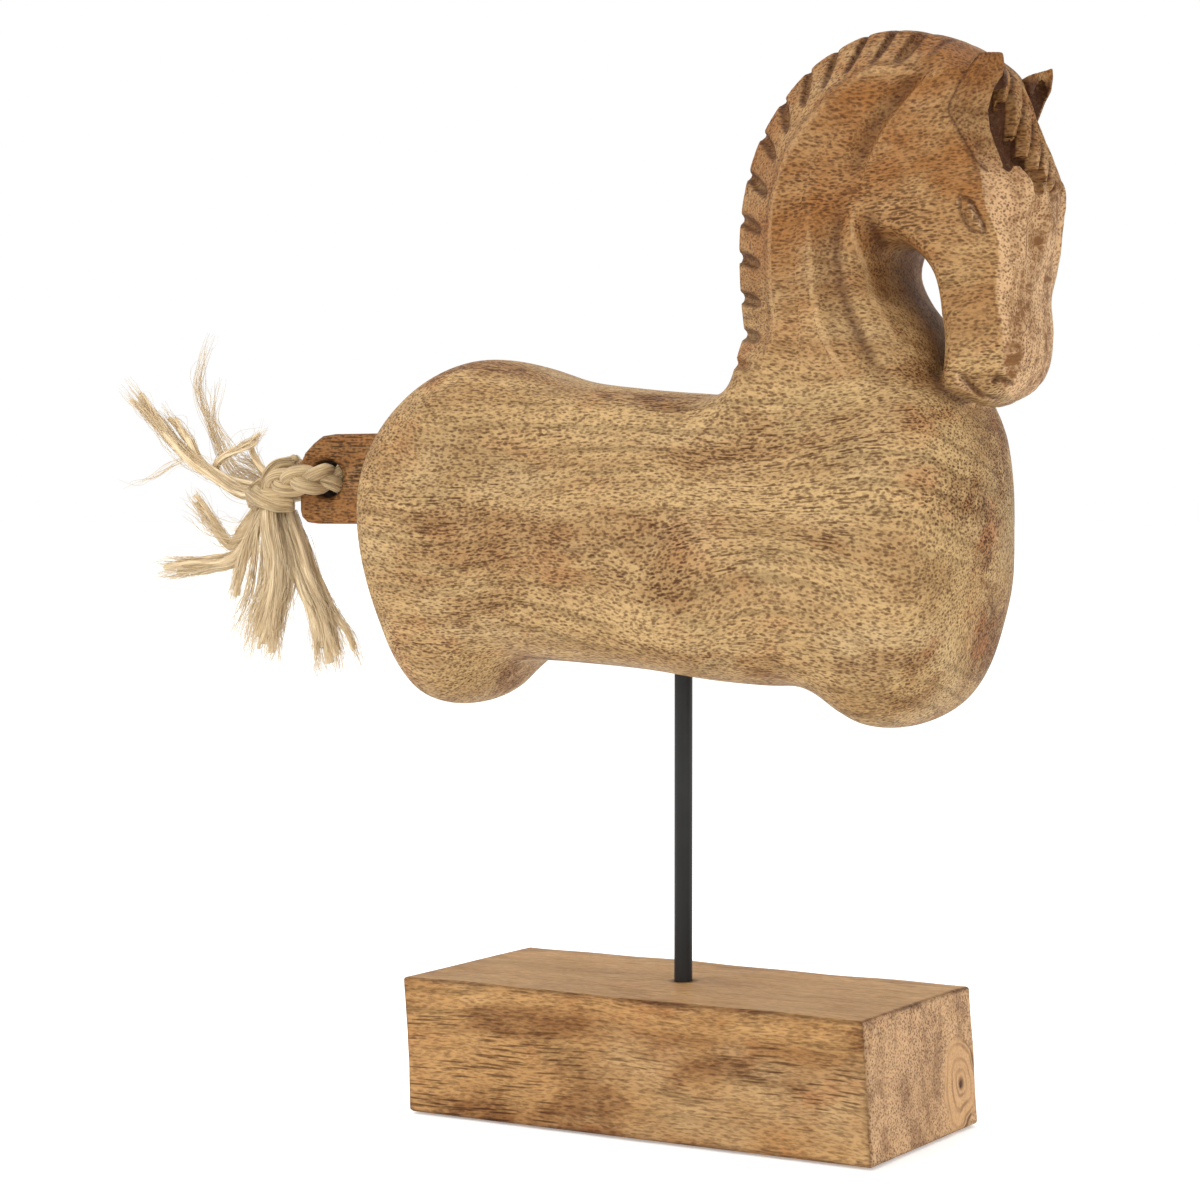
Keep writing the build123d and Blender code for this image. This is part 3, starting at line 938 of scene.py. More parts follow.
def surface_net(field, low, high, step):
    """Points and quads round the zero surface of a field, one point in every cell that it crosses."""
    axes = [np.arange(a, b, step) for a, b in zip(low, high)]
    grid = np.stack(np.meshgrid(*axes, indexing="ij"), axis=-1)
    values = field(grid.reshape(-1, 3)).reshape(grid.shape[:3])
    total, count = crossings(grid, values)
    used = count > 0
    index = np.full(count.shape, -1)
    index[used] = np.arange(used.sum())
    return total[used] / count[used][:, None], net_faces(values < 0, index)


def gradient(field, points, reach=0.35):
    out = np.empty_like(points)
    for axis in range(3):
        shift = np.zeros(3)
        shift[axis] = reach
        out[:, axis] = (field(points + shift) - field(points - shift)) / (2 * reach)
    return out


def settle(field, points, rounds=3, most=1.2):
    """Moves points onto the zero surface."""
    for _ in range(rounds):
        slope = gradient(field, points)
        square = np.maximum((slope**2).sum(1), 0.05)
        move = -(field(points) / square)[:, None] * slope
        length = np.linalg.norm(move, axis=1)[:, None]
        points = points + move * np.minimum(1, most / np.maximum(length, 1e-9))
    return points


def relax(field, points, edges, rounds=2):
    """Evens out the spacing along the surface."""
    for _ in range(rounds):
        total = np.zeros_like(points)
        count = np.zeros(len(points))
        for a, b in ((0, 1), (1, 0)):
            np.add.at(total, edges[:, a], points[edges[:, b]])
            np.add.at(count, edges[:, a], 1)
        points = settle(field, points + 0.5 * (total / count[:, None] - points), rounds=2)
    return points


HORSE_LOW = (-168, -48, 172)
HORSE_HIGH = (182, 48.1, 476)
CREST_LINE = catmull(CREST, 4, closed=False)


def on_head_or_mane(c):
    if c.x > 138 and c.z > 306 or c.z > 372 and c.x > 100:
        return True
    near_crest = np.hypot(CREST_LINE[:, 0] - c.x, CREST_LINE[:, 1] - c.z).min() < 17
    return c.z > 318 and c.x < 110 and near_crest


def on_fine_carving(c):
    eye = abs(c.x - 151) < 10 and abs(c.z - 387) < 13 and abs(c.y) > 15
    forelock_and_ears = c.x > 150 and c.z > 392 and abs(c.y) < 38
    mouth = c.x > 138 and c.z < 332 and c.z > 308
    return eye or forelock_and_ears or mouth


def on_ears(c):
    return c.x > 147 and c.z > 395


def refine(bm, wanted):
    """Splits the faces whose middle is wanted into four and settles all points on the horse's surface."""
    faces = [face for face in bm.faces if wanted(face.calc_center_median())]
    edges = list({edge for face in faces for edge in face.edges})
    bmesh.ops.subdivide_edges(bm, edges=edges, cuts=1, use_grid_fill=True)
    places = settle(horse_field, np.array([v.co for v in bm.verts]), rounds=3)
    bm.verts.index_update()
    pairs = np.array([[v.index for v in edge.verts] for edge in bm.edges])
    places = relax(horse_field, places, pairs)
    for vert, place in zip(bm.verts, places):
        vert.co = place


def make_horse(material):
    """The carved horse: coarse over the body, finer where the carving is."""
    points, faces = surface_net(horse_field, HORSE_LOW, HORSE_HIGH, 2.4)
    bm = bmesh.new()
    verts = [bm.verts.new(point) for point in points]
    for face in faces:
        bm.faces.new([verts[i] for i in face])
    for wanted in (on_head_or_mane, on_fine_carving, on_ears):
        refine(bm, wanted)
    bmesh.ops.recalc_face_normals(bm, faces=bm.faces)
    points = np.array([v.co for v in bm.verts])
    faces = [[v.index for v in face.verts] for face in bm.faces]
    bm.free()
    horse = new_mesh("horse", points, faces, material)
    paint_horse(horse, points)
    return horse


def ear_marks(x, y, z, outside, ear_plan):
    """Where the ear's hollow and its stepped back edge take painted shade, and the plate of the ear itself.
    """
    strip = forelock(x, y, z, outside)
    on_strands = (strip < 0.4) * smooth_steps((outside + BROW_FALL * y**2 + 1.6) / 1.2)
    # Painted shade over the hollow between the ear and the forelock, off the forelock's strands.
    hollow = smooth_steps((-1.0 - ear_plan) / 1.5) * (y > 5) * (y < 27) * (facet_field(x, y, z) < -0.9)
    hollow *= (1 - on_strands) * smooth_steps((z - 398) / 4) * smooth_steps((450 - z) / 6)
    # Painted shade along the undercut back edge of the ear.
    step_shade = bell(ear_plan / 0.9) * (y > 31) * (x < 158) * (z > 404)
    plate = smooth_steps((1.5 - ear_plan) / 3) * smooth_steps((y - 24) / 2) * smooth_steps((z - 396) / 12)
    return hollow, step_shade, plate


def forelock_groove_shade(x, y, z, outside):
    """Painted shade in the grooves between the strands of the forelock."""
    on_lock = (x > 148) & (z > 396) & (forelock(x, y, z, outside) < 0.4) & (z < 456)
    share = strand_share(y, z) % 1
    return bell(np.minimum(share, 1 - share) / 0.11) * on_lock


def facing_ahead(horse, x, z):
    """How far the front of the face looks ahead."""
    normals = np.empty(len(x) * 3, np.float32)
    horse.data.vertices.foreach_get("normal", normals)
    ahead = normals.reshape(-1, 3)[:, 0]
    on_face = smooth_steps((z - 305) / 12) * smooth_steps((418 - z) / 22) * (x > 140)
    return smooth_steps((ahead - 0.36) / 0.22) * on_face


def paint_horse(horse, points):
    """Numbers for the material: painted shade and aged tone (painted highlights below zero), rounded edges,
    and the face's front.
    """
    x, y, z = points[:, 0], np.abs(points[:, 1]), points[:, 2]
    outside, thick, radius, burn_and_shade, ear_plan, mane, _, light = read_maps(x, z)
    on_side = np.maximum(smooth_steps((y / thick - 0.45) / 0.25), (mane < 40) & (y > 9))
    hollow, step_shade, plate = ear_marks(x, y, z, outside, ear_plan)
    groove_shade = forelock_groove_shade(x, y, z, outside)
    # Painted shade in the carved grooves, the ear's hollow, its stepped edge and the forelock's grooves; aged
    # tone on the ear's plate.
    dark = np.maximum.reduce([
        burn_and_shade * on_side, 1.05 * hollow, 0.9 * step_shade, 0.85 * groove_shade, 0.20 * plate * (x < 163),
    ])
    # Below zero: painted highlights along the carved ridges.
    paint(horse, "burn_and_shade", dark - light * on_side * (dark < 0.5))
    paint(horse, "edge", np.maximum(smooth_steps((radius + outside) / radius), plate))
    paint(horse, "front", facing_ahead(horse, x, z))


# ---------------------------------------------------------------- base block and tail tab

BASE_LEAN = 4.0
BASE_EDGE = 1.7
BASE_STEP = 5.0
COUNTERBORE_RADIUS = 12.0
COUNTERBORE_DEPTH = 14.0
ROD_HOLE_RADIUS = 4.05


def node_size(node):
    """Middle and half sizes of a CAD node in millimetres about the rod."""
    low, high = (np.array(corner) / MM - (ROD_X, 0, 0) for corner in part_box(node))
    return (low + high) / 2, (high - low) / 2


def spaced(half):
    """Places from -half to half: even over the flat, close together towards the rounded edge."""
    flat = half - BASE_EDGE
    rows = np.linspace(-(flat - 3.5), flat - 3.5, int(2 * flat / BASE_STEP))
    before = flat + np.array([-1.8, -0.6])
    over = flat + BASE_EDGE * np.array([0.15, 0.35, 0.55, 0.75, 1.0])
    rim = np.concatenate([before, over])
    return np.concatenate([-rim[::-1], rows, rim])


def box_shell(half):
    """Points and quads of a box's skin, finer towards its edges, with the points shared between sides."""
    rows = [spaced(size) for size in half]
    points, faces, known = [], [], {}

    def vertex(place):
        key = tuple(np.round(place, 4))
        if key not in known:
            known[key] = len(points)
            points.append(place)
        return known[key]

    for axis in range(3):
        one, two = (axis + 1) % 3, (axis + 2) % 3
        for side in (-1, 1):
            grid = []
            for a in rows[one]:
                line = []
                for b in rows[two]:
                    place = np.zeros(3)
                    place[axis], place[one], place[two] = side * half[axis], a, b
                    line.append(vertex(place))
                grid.append(line)
            for i in range(len(grid) - 1):
                for j in range(len(grid[0]) - 1):
                    ring = [grid[i][j], grid[i + 1][j], grid[i + 1][j + 1], grid[i][j + 1]]
                    faces.append(ring[::side])
    return np.array(points), faces


def drill(piece, radius, depth):
    """Cuts a round hole up from the underside on the rod's axis."""
    bm = bmesh.new()
    size = radius * MM
    bmesh.ops.create_cone(bm, cap_ends=True, segments=64, radius1=size, radius2=size, depth=2 * depth * MM)
    mesh = bpy.data.meshes.new("drill")
    bm.to_mesh(mesh)
    bm.free()
    cutter = link("drill", mesh)
    cutter.location = (ROD_X * MM, 0, 0)
    cut = piece.modifiers.new("hole", "BOOLEAN")
    cut.object = cutter
    cut.operation = "DIFFERENCE"
    cut.solver = "EXACT"
    graph = bpy.context.evaluated_depsgraph_get()
    mesh = bpy.data.meshes.new_from_object(piece.evaluated_get(graph))
    piece.modifiers.clear()
    piece.data = mesh
    bpy.data.objects.remove(cutter)


BASE_MIDDLE, BASE_HALF = node_size("base_block")
# Half sizes of the block before its ends are leaned
BASE_UPRIGHT = BASE_HALF - (BASE_LEAN / 2, 0, 0)


def worn_block(points):
    """Box skin with rounded edges that wear has bitten into, slightly uneven faces and leaning ends."""
    inset = BASE_UPRIGHT - BASE_EDGE
    core = np.clip(points, -inset, inset)
    out = points - core
    out /= np.maximum(np.linalg.norm(out, axis=1), 1e-9)[:, None]
    x, y, z = points.T
    wear = 0.45 * np.abs(np.sin(x / 7.3 + z / 9) * np.sin(x / 3.1 + y / 5.7 + 1)) ** 2
    on_edge = (np.abs(out) > 0.3).sum(1) > 1
    shell = core + out * (BASE_EDGE - wear * on_edge)[:, None]
    uneven = 0.40 * np.sin(x / 31 + y / 23 + 0.6) * np.sin(z / 17 + x / 53)
    uneven += 0.14 * np.sin(x / 8.3 + z / 6.1)
    shell += out * uneven[:, None] * (out[:, 2] > -0.5)[:, None]
    shell[:, 0] -= BASE_LEAN / 2 * shell[:, 2] / BASE_UPRIGHT[2]
    return shell


def paint_base(base, points):
    """Numbers for the material: dark edges here and there, painted light on the top, and the end grain."""
    x, y, z = points.T
    gaps = np.sort(BASE_UPRIGHT - np.abs(points), axis=1)
    rim = bell(gaps[:, 1] / 1.3)
    lively = 0.55 + 0.45 * np.sin(x / 13 + y / 9) * np.sin(x / 5.1 + z / 7.7)
    # Painted light: the top is painted paler, as if lit from above.
    painted_top_light = 0.42 * smooth_steps(z - BASE_UPRIGHT[2] + 1)
    paint(base, "burn_and_shade", 0.95 * rim * np.clip(lively, 0.25, 1) - painted_top_light * (rim < 0.05))
    paint(base, "edge", bell(gaps[:, 1] / 6))
    paint(base, "front", np.abs(x) > BASE_UPRIGHT[0] - 0.01)


def make_base(material):
    """Hand-sawn block with its holes for the rod, the washer and the nut."""
    points, faces = box_shell(BASE_UPRIGHT)
    base = new_mesh("block", worn_block(points) + BASE_MIDDLE, faces, material)
    paint_base(base, points)
    drill(base, ROD_HOLE_RADIUS, 70.0)
    drill(base, COUNTERBORE_RADIUS, BASE_MIDDLE[2] - BASE_HALF[2] + COUNTERBORE_DEPTH)
    return base


TAB_OUTLINE = np.array([
    (-203, 268), (-202, 265), (-199, 262.6), (-193, 262), (-160, 262), (-132, 262), (-132, 304), (-160, 304),
    (-183, 304), (-190, 303.2), (-195, 300), (-200, 295.5), (-202.5, 291), (-203, 286), (-203, 276),
])
TAB_MIDDLE, TAB_HALF = node_size("tail_tab")
TAB_HOLE = (-187, 283)
TAB_HOLE_RADIUS = 8.3


def beyond_tab_hole(x, z):
    """How far a place lies outside the tab's hole."""
    return np.hypot(x - TAB_HOLE[0], z - TAB_HOLE[1]) - TAB_HOLE_RADIUS


def tab_field(points):
    """Below zero inside the board, whose outer edges and hole have a wide worn rim."""
    x, y, z = points.T
    ripple = 0.25 * np.sin(x / 6.1 + z / 4.7) * np.sin(z / 9.3 + 1)
    board = soft_max(loop_distance(TAB_OUTLINE, x, z), np.abs(y) - TAB_HALF[1] + ripple * 0.5 + 0.1, 2.6)
    return soft_max(board, -beyond_tab_hole(x, z), 3.4)


def make_tab(material):
    """Board with worn edges and a round hole for the rope."""
    step = 1.1
    points, faces = surface_net(tab_field, TAB_MIDDLE - TAB_HALF - 2.05, TAB_MIDDLE + TAB_HALF + 2, step)
    points = settle(tab_field, points)
    tab = new_mesh("tab", points, faces, material)
    x, y, z = points.T
    outside = loop_distance(TAB_OUTLINE, x, z)
    bore = bell(np.maximum(beyond_tab_hole(x, z), 0) / 1.3)
    rim = (bell(np.maximum(outside + 1.2, 0)) < 0.6) * (np.abs(y) > 6)
    paint(tab, "burn_and_shade", np.maximum(0.95 * bore, 0.35 * rim))
    paint(tab, "edge", bell(outside / 4))
    return tab


# ---------------------------------------------------------------- materials

class Nodes:
    """Short way to build a node tree."""

    def __init__(self, name):
        self.material = bpy.data.materials.new(name)
        self.material.use_nodes = True
        self.tree = self.material.node_tree
        self.shader = self.tree.nodes["Principled BSDF"]

    def add(self, kind, **settings):
        """New node. Each setting is the value of an input or a property of the node."""
        node = self.tree.nodes.new(kind)
        for key, value in settings.items():
            if key in node.inputs:
                self.set(node.inputs[key], value)
            else:
                setattr(node, key, value)
        return node

    def set(self, socket, value):
        if isinstance(value, bpy.types.NodeSocket):
            self.tree.links.new(value, socket)
        else:
            socket.default_value = value

    def surface(self, **values):
        """Values of the shader's inputs, with _ for a space in their names."""
        for key, value in values.items():
            self.set(self.shader.inputs[key.replace("_", " ")], value)

    def math(self, operation, a, b=0.0, clamp=False):
        node = self.add("ShaderNodeMath", operation=operation, use_clamp=clamp)
        self.set(node.inputs[0], a)
        self.set(node.inputs[1], b)
        return node.outputs[0]

    def times(self, a, b, clamp=False):
        return self.math("MULTIPLY", a, b, clamp)

    def plus(self, a, b, clamp=False):
        return self.math("ADD", a, b, clamp)

    def vector(self, operation, a, b):
        node = self.add("ShaderNodeVectorMath", operation=operation)
        self.set(node.inputs[0], a)
        self.set(node.inputs[1], b)
        return node.outputs[0]

    def shifted(self, source, by):
        return self.vector("ADD", source, by)

    def stretched(self, scale, source):
        return self.vector("MULTIPLY", source, scale)

    def object_place(self):
        """Coordinates on the object in metres."""
        return self.add("ShaderNodeTexCoord").outputs["Object"]

    def split(self, source):
        """The three parts of a vector."""
        node = self.add("ShaderNodeSeparateXYZ")
        self.set(node.inputs[0], source)
        return node.outputs

    def ramp(self, value, low, high):
        """0 at low, 1 at high, smooth between."""
        node = self.add("ShaderNodeMapRange", interpolation_type="SMOOTHSTEP")
        self.set(node.inputs["Value"], value)
        self.set(node.inputs["From Min"], low)
        self.set(node.inputs["From Max"], high)
        return node.outputs[0]

    def mix(self, share, a, b):
        node = self.add("ShaderNodeMix", data_type="RGBA")
        self.set(node.inputs["Factor"], share)
        self.set(node.inputs[6], a)
        self.set(node.inputs[7], b)
        return node.outputs[2]

    def noise(self, scale, detail=2.0, roughness=0.5, source=None, distortion=0.0):
        if source is None:
            source = self.object_place()
        node = self.add("ShaderNodeTexNoise", Scale=1.0, Detail=detail, Roughness=roughness)
        node.inputs["Distortion"].default_value = distortion
        self.set(node.inputs["Vector"], self.stretched(scale, source))
        return node.outputs["Fac"]

    def cloud(self, scale, detail, roughness, source, low, high, distortion=0.0):
        """Noise with its values up to low turned to 0 and those from high on to 1."""
        return self.ramp(self.noise(scale, detail, roughness, source, distortion), low, high)

    def specks(self, scale, source, share):
        """Separate specks scattered at random, 1 in their middles."""
        node = self.add("ShaderNodeTexVoronoi", Scale=1.0)
        self.set(node.inputs["Vector"], self.stretched(scale, source))
        return self.ramp(node.outputs["Distance"], share, self.times(share, 0.45))

    def attribute(self, name):
        return self.add("ShaderNodeAttribute", attribute_name=name).outputs["Fac"]

    def bump(self, height, distance, strength):
        node = self.add("ShaderNodeBump", Strength=strength, Distance=distance)
        self.set(node.inputs["Height"], height)
        self.surface(Normal=node.outputs[0])


def colour(red, green, blue):
    """Linear colour from the 0 to 255 values that a paint chart gives."""
    def linear(c):
        c /= 255
        return c / 12.92 if c <= 0.04045 else ((c + 0.055) / 1.055) ** 2.4
    return (linear(red), linear(green), linear(blue), 1)


class Wood(Nodes):
    """Light wood with its grain along X, laid tone over tone.

    The painted numbers burn, edge and front add dark and pale lines, worn edges and the mottled end grain.
    The dark lines are painted shade in the carving's grooves and hollows, aged tone and dark edges; the pale
    ones are painted highlights on the ridges and painted light on the block's top.
    """

    def __init__(self, name, colours, seed, sway, long_grain):
        super().__init__(name)
        self.light, self.brown, self.dark, self.deep_brown = colours
        self.place = self.shifted(self.object_place(), (seed, seed * 0.7, seed * 1.3))
        self.bent = self.bent_place(sway)
        self.grain = self.stretched((1 / long_grain, 1, 1), self.bent)
        self.mirrored = self.stretched((-1, 1, 1), self.place)
        self.burn_and_shade = self.attribute("burn_and_shade")
        self.edge = self.attribute("edge")
        self.front = self.attribute("front")

    def bent_place(self, sway):
        """Coordinates bent by a slow noise, so that the grain wanders."""
        bend = self.add("ShaderNodeTexNoise", Detail=1.5, Scale=1.0)
        self.set(bend.inputs["Vector"], self.stretched((8, 12, 12), self.place))
        offset = self.shifted(bend.outputs["Color"], (-0.5, -0.5, -0.5))
        return self.shifted(self.stretched((0.0, sway, sway), offset), self.place)

    def lay(self, share, tint):
        """Lays a tint over the tone so far."""
        self.tone = self.mix(share, self.tone, tint)

    def add_base_tone(self):
        """Broad soft bands, fine streaks and pale or greenish clouds."""
        bands = self.cloud((6, 60, 60), 3, 0.55, self.grain, 0.35, 0.68)
        self.tone = self.mix(self.times(bands, 0.45), self.light, self.brown)
        self.streaks = self.cloud((22, 420, 420), 3, 0.6, self.grain, 0.35, 0.72)
        self.lay(self.times(self.streaks, 0.20), self.dark)
        pale = self.cloud((14, 26, 26), 2, 0.5, self.mirrored, 0.50, 0.72)
        self.lay(self.times(pale, 0.50), colour(196, 168, 124))
        green = self.cloud((16, 32, 32), 2, 0.5, self.place, 0.52, 0.74, distortion=0.4)
        self.lay(self.times(green, 0.30), colour(146, 126, 86))

    def add_growth_lines(self):
        """Long thin olive lines that sweep along the sides."""
        _, level, upright = self.split(self.grain)
        height = self.plus(upright, self.times(level, 0.35))
        wander = self.times(self.noise((5, 22, 22), 2, 0.5, self.place), 9.0)
        lines = self.ramp(self.math("SINE", self.plus(self.times(height, 640.0), wander)), 0.45, 1.0)
        shown = self.cloud((9, 22, 22), 2, 0.5, self.mirrored, 0.46, 0.60)
        self.lay(self.times(self.times(lines, shown), 0.42), colour(120, 98, 62))

    def add_patches(self, strength):
        """Brown patches, stronger where the surface turns over an edge, and rusty clouds."""
        patch = self.cloud((17, 40, 40), 5, 0.62, self.bent, 0.48, 0.68, distortion=0.3)
        patch = self.times(patch, self.plus(self.times(self.edge, 0.50), 0.65))
        self.patch = self.plus(self.times(patch, strength), self.times(self.front, 0.15), clamp=True)
        self.lay(self.times(self.patch, 0.72), self.brown)
        rust = self.times(self.cloud((24, 40, 40), 3, 0.6, self.mirrored, 0.54, 0.72), 0.40 * strength)
        self.lay(self.times(rust, self.plus(self.times(self.edge, 0.5), 0.55)), colour(172, 104, 58))

    def add_age(self, low, high):
        """Deeper brown that begins at one height in metres and is full at the other."""
        _, _, height = self.split(self.object_place())
        uneven = self.times(self.cloud((20, 30, 30), 3, 0.6, self.place, 0.36, 0.66), 0.55)
        self.old = self.times(self.ramp(height, low, high), self.plus(uneven, 0.40))
        off_front = self.plus(self.times(self.front, -0.7), 1.0)
        self.lay(self.times(self.old, off_front), colour(143, 92, 44))

    def add_pores(self, strength):
        """Dots where the surface cuts the grain, dashes where it follows it, both denser in the patches."""
        mottle = self.cloud((420, 1250, 1250), 2, 0.65, self.grain, 0.46, 0.66)
        self.lay(self.times(mottle, 0.38), self.dark)
        dots = self.specks((400, 900, 900), self.grain, 0.54)
        dots = self.times(dots, self.plus(self.times(self.patch, 0.3), 0.7))
        more = self.specks((250, 640, 640), self.stretched((-1, 1, -1), self.grain), 0.40)
        self.dots = self.plus(dots, self.times(more, 0.8), clamp=True)
        thick = self.times(self.cloud((30, 60, 60), 2, 0.5, self.mirrored, 0.42, 0.62), 0.14)
        thick = self.plus(self.times(self.patch, 0.10), thick)
        thick = self.plus(self.plus(thick, self.times(self.old, 0.08)), 0.31)
        self.dashes = self.specks((66, 840, 840), self.grain, thick)
        shown = self.times(self.cloud((9, 20, 20), 2, 0.5, self.place, 0.44, 0.60), 0.65)
        shown = self.plus(shown, 0.25, clamp=True)
        self.lay(self.times(self.dots, self.plus(self.times(self.patch, 0.12), 0.72 * strength)), self.dark)
        shown = self.times(shown, self.plus(self.times(self.patch, 0.20), 0.80))
        self.lay(self.times(self.dashes, shown), self.dark)

    def add_end_grain(self, aside, up, steps, strength):
        """Burnished end grain: a pale ground with upright and level brown smears."""
        ground = self.mix(self.times(self.dots, 0.72), colour(222, 180, 136), self.dark)
        self.lay(self.times(self.front, 0.62), ground)
        smear = self.cloud((30, aside, up), 4, 0.66, self.place, 0.42, 0.60, distortion=0.3)
        level = self.cloud((30, 62, steps), 4, 0.66, self.place, 0.42, 0.60, distortion=1.2)
        smear = self.times(smear, self.plus(self.times(level, 0.72), 0.32))
        smear = self.times(smear, self.times(self.front, strength))
        self.lay(smear, self.mix(0.30, self.brown, self.deep_brown))

    def add_edge_flecks(self, strength):
        """Dark flecks near worn edges."""
        worn = self.cloud((45, 90, 90), 5, 0.65, self.grain, 0.55, 0.72, distortion=0.3)
        self.lay(self.times(worn, self.times(self.edge, 0.55 * strength)), self.deep_brown)

    def add_knot(self, end, y, z, radius):
        """Growth rings round a knot in the +X end, placed in millimetres about the rod."""
        place = self.shifted(self.object_place(), (-(end + ROD_X) * MM, -y * MM, -z * MM))
        inward, level, upright = self.split(place)
        wide = self.math("POWER", self.times(level, 1.05), 2.0)
        tall = self.math("POWER", self.times(upright, 0.84), 2.0)
        wobble = self.plus(self.times(self.noise((42, 42, 42), source=place), 0.014), -0.006)
        away = self.plus(self.math("SQRT", self.plus(wide, tall)), wobble)
        rings = self.ramp(self.math("SINE", self.times(away, 1300.0)), 0.1, 1.0)
        inside = self.ramp(away, (radius + 4.0) * MM, (radius + 2.5) * MM)
        rim = self.times(self.ramp(away, (radius + 1.6) * MM, (radius + 2.8) * MM),
                         self.ramp(away, (radius + 4.4) * MM, (radius + 3.0) * MM))
        heart = self.ramp(away, 4.5 * MM, 2.0 * MM)
        patchy = self.cloud((60, 60, 60), 2, 0.5, place, 0.40, 0.62)
        shown = self.ramp(inward, -6 * MM, -4 * MM)
        self.lay(self.times(self.times(inside, shown), 0.70), colour(204, 160, 112))
        rings = self.times(self.times(rings, inside), self.plus(self.times(patchy, 0.25), 0.20))
        lines = self.plus(rings, self.times(self.times(rim, patchy), 0.80))
        lines = self.plus(lines, self.times(heart, 0.75), clamp=True)
        self.lay(self.times(lines, shown), self.dark)

    def add_marks_shade_and_highlight(self):
        """Ragged lines from burn: above zero, painted shade in the carving and dark edges in a deep brown;
        below zero, painted highlights and painted light in a pale colour.
        """
        ragged = self.plus(self.times(self.noise((300, 700, 700), 2, 0.6, self.grain), 0.8), 0.55)
        # Pale side: painted highlights and painted light on the block's top.
        pale = self.times(self.ramp(self.burn_and_shade, -0.05, -0.85), 0.80)
        self.lay(self.times(pale, ragged), colour(200, 162, 114))
        # Dark side: painted shade in the carving, aged tone and dark edge lines.
        self.lay(self.times(self.times(self.burn_and_shade, ragged, clamp=True), 0.93), self.deep_brown)

    def close(self):
        """Gives the shader its tone, its roughness and the relief of the pores."""
        rough = self.plus(self.times(self.dashes, 0.16), self.plus(self.times(self.streaks, 0.08), 0.54))
        self.surface(Base_Color=self.tone, Roughness=rough, Specular_IOR_Level=0.12)
        relief = self.plus(self.times(self.dots, -0.6), self.times(self.streaks, -0.3))
        self.bump(self.plus(self.times(self.dashes, -1.0), relief), 0.00022, 0.8)


def wood(name, light, brown, dark, deep_brown, seed=0.0, patches=1.0, sway=0.034, aged=(9.0, 10.0), long_grain=1.0,
         pores=1.0, smears=(95, 20, 130, 1.0), knot=None):
    """Wood material.

    Patches and pores are how strong these are. Sway is how far the grain wanders. Aged is the pair of heights
    between which the tone turns to a deeper brown. Smears is the fineness of the end grain's smears across,
    upright and in steps, then their strength.
    """
    n = Wood(name, (light, brown, dark, deep_brown), seed, sway, long_grain)
    n.add_base_tone()
    n.add_growth_lines()
    n.add_patches(patches)
    n.add_age(*aged)
    n.add_pores(pores)
    n.add_end_grain(*smears)
    n.add_edge_flecks(patches)
    if knot:
        n.add_knot(*knot)
    n.add_marks_shade_and_highlight()
    n.close()
    return n.material


def sisal(name, light, mid, dark):
    """Pale fibre with silky streaks along each strand."""
    n = Nodes(name)
    place = n.add("ShaderNodeAttribute", attribute_name="strand").outputs["Vector"]
    streaks = n.noise((3.2, 3.2, 0.05), 3, 0.65, place)
    tone = n.mix(n.ramp(streaks, 0.34, 0.62), dark, light)
    broad = n.cloud((0.8, 0.8, 0.03), 2, 0.5, place, 0.45, 0.68)
    tone = n.mix(n.times(broad, 0.65), tone, mid)
    n.surface(Base_Color=tone, Roughness=0.48, Specular_IOR_Level=0.35, Sheen_Weight=0.15)
    n.bump(streaks, 0.0004, 0.6)
    return n.material


# How much the roughness of a plain surface varies
PLAIN_UNEVEN = 0.12


def plain(name, tint, rough, metallic=0.0, grit=600.0, height=0.00004):
    """Painted, plated or felted surface with a fine uneven grain."""
    n = Nodes(name)
    grain = n.noise((grit, grit, grit), 4, 0.65)
    cloud = n.cloud((40, 40, 40), 2, 0.5, None, 0.4, 0.7)
    lighter = tuple(min(1.0, c * 1.6 + 0.01) for c in tint[:3]) + (1,)
    uneven = n.plus(n.times(grain, PLAIN_UNEVEN), rough - PLAIN_UNEVEN / 2)
    n.surface(Base_Color=n.mix(n.times(cloud, 0.5), tint, lighter), Metallic=metallic, Roughness=uneven)
    n.bump(grain, height, 0.7)
    return n.material


DARK_PORE = colour(68, 37, 16)
# Place and radius of the knot in the block's end: x, y, z, radius in millimetres about the rod
BLOCK_KNOT = (BASE_HALF[0] + BASE_MIDDLE[0], 37, 20, 15)
WOOD_HORSE = wood("carved_wood", colour(197, 163, 113), colour(134, 92, 52), DARK_PORE, colour(66, 36, 20),
                  aged=(0.30, 0.40))
WOOD_BLOCK = wood("block_wood", colour(194, 151, 98), colour(104, 62, 30), DARK_PORE, colour(66, 38, 22),
                  seed=0.83, patches=1.45, sway=0.016, aged=(-0.5, 1.0), long_grain=1.6, pores=0.55,
                  smears=(70, 30, 70, 0.5), knot=BLOCK_KNOT)
WOOD_TAB = wood("tab_wood", colour(158, 108, 60), colour(108, 72, 38), colour(52, 31, 17), colour(40, 24, 14),
                seed=2.31, patches=0.6, sway=0.008)
SISAL = sisal("sisal", colour(240, 220, 182), colour(222, 194, 148), colour(180, 148, 102))
SISAL_ROPE = sisal("sisal_rope", colour(206, 180, 134), colour(182, 152, 106), colour(122, 94, 60))
BLACK_STEEL = plain("black_steel", colour(22, 21, 20), 0.46, metallic=0.4, grit=900.0)
ZINC_STEEL = plain("zinc_steel", colour(170, 172, 176), 0.34, metallic=1.0, grit=1500.0)
FELT = plain("felt", colour(112, 92, 72), 0.95, grit=1800.0, height=0.0003)


# ---------------------------------------------------------------- stage and light

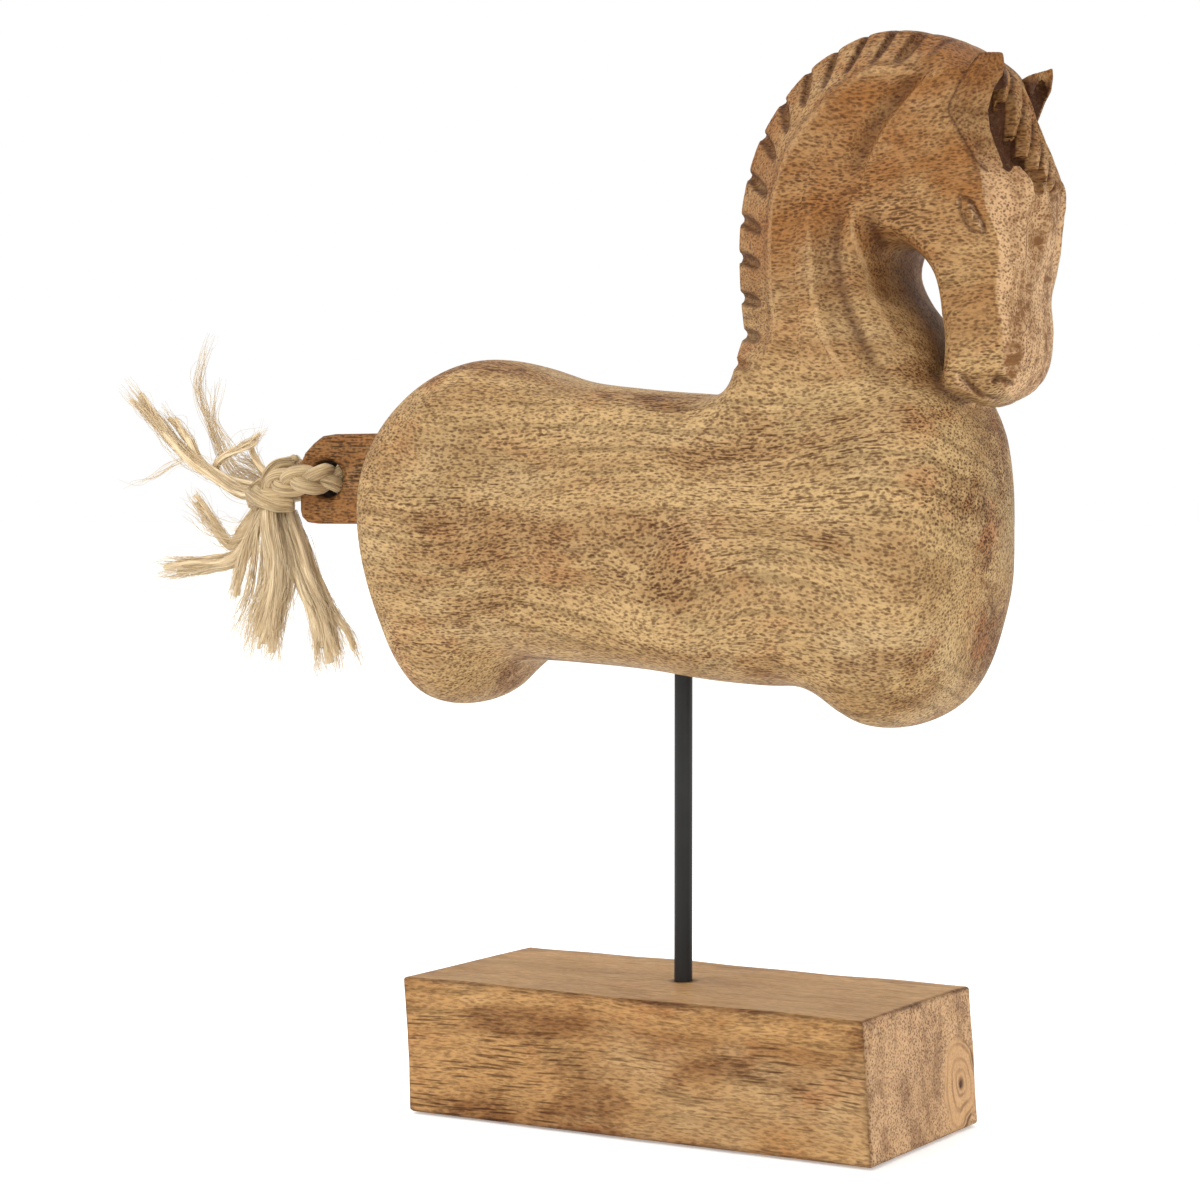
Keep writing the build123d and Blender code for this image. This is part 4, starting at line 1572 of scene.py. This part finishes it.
def make_stage():
    """White paper: a wide floor that glows a little, as an overlit studio sweep does."""
    n = Nodes("paper")
    n.surface(Base_Color=(0.93, 0.93, 0.93, 1), Roughness=0.9)
    n.surface(Emission_Color=(1, 1, 1, 1), Emission_Strength=0.30)
    reach = 40.0
    corners = [(-reach, -reach, 0), (reach, -reach, 0), (reach, reach, 0), (-reach, reach, 0)]
    mesh = bpy.data.meshes.new("floor")
    mesh.from_pydata(corners, [], [(0, 1, 2, 3)])
    mesh.materials.append(n.material)
    floor = link("floor", mesh)


def area_light(name, place, target, size, power):
    data = bpy.data.lights.new(name, "AREA")
    data.shape = "RECTANGLE"
    data.size, data.size_y = size
    data.energy = power
    light = link(name, data)
    light.location = place
    light.rotation_euler = (Vector(target) - Vector(place)).to_track_quat("-Z", "Y").to_euler()


def make_light():
    middle = (0, 0, 0.25)
    area_light("key", (-0.75, -1.25, 1.15), middle, (0.9, 0.9), 10)
    area_light("fill", (1.5, -0.9, 0.55), middle, (1.2, 1.4), 3.4)
    area_light("top", (0.1, 0.2, 1.7), middle, (1.0, 1.0), 5)
    world = bpy.data.worlds.new("studio")
    world.use_nodes = True
    background = world.node_tree.nodes["Background"]
    background.inputs["Color"].default_value = (1, 1, 1, 1)
    background.inputs["Strength"].default_value = 1.0
    bpy.context.scene.world = world
    bpy.context.scene.view_settings.view_transform = "Standard"


# ---------------------------------------------------------------- putting it together

def place(piece, body, material_slot, *nodes):
    """Puts a made piece on its body in place of the CAD nodes that it stands for."""
    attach(piece, body)
    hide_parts(*nodes)
    return piece


rope = place(make_rope(SISAL_ROPE), "tail", "sisal", "tail_rope")
on_rope = [place(make_knot(SISAL_ROPE), "tail", "sisal", "tail_knot")]
on_rope += [place(make_tuft(name, SISAL), "tail", "sisal", name) for name in TUFTS]

make_stage()
make_light()
place(make_horse(WOOD_HORSE), "stand", "carved_wood", "horse_body")
place(make_tab(WOOD_TAB), "stand", "tab_wood", "tail_tab")
place(make_base(WOOD_BLOCK), "stand", "block_wood", "base_block")
for node, material in {
    "support_rod": BLACK_STEEL,
    "rod_washer": ZINC_STEEL,
    "rod_nut": ZINC_STEEL,
    "base_pads": FELT,
}.items():
    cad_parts[node].data.materials.clear()
    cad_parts[node].data.materials.append(material)
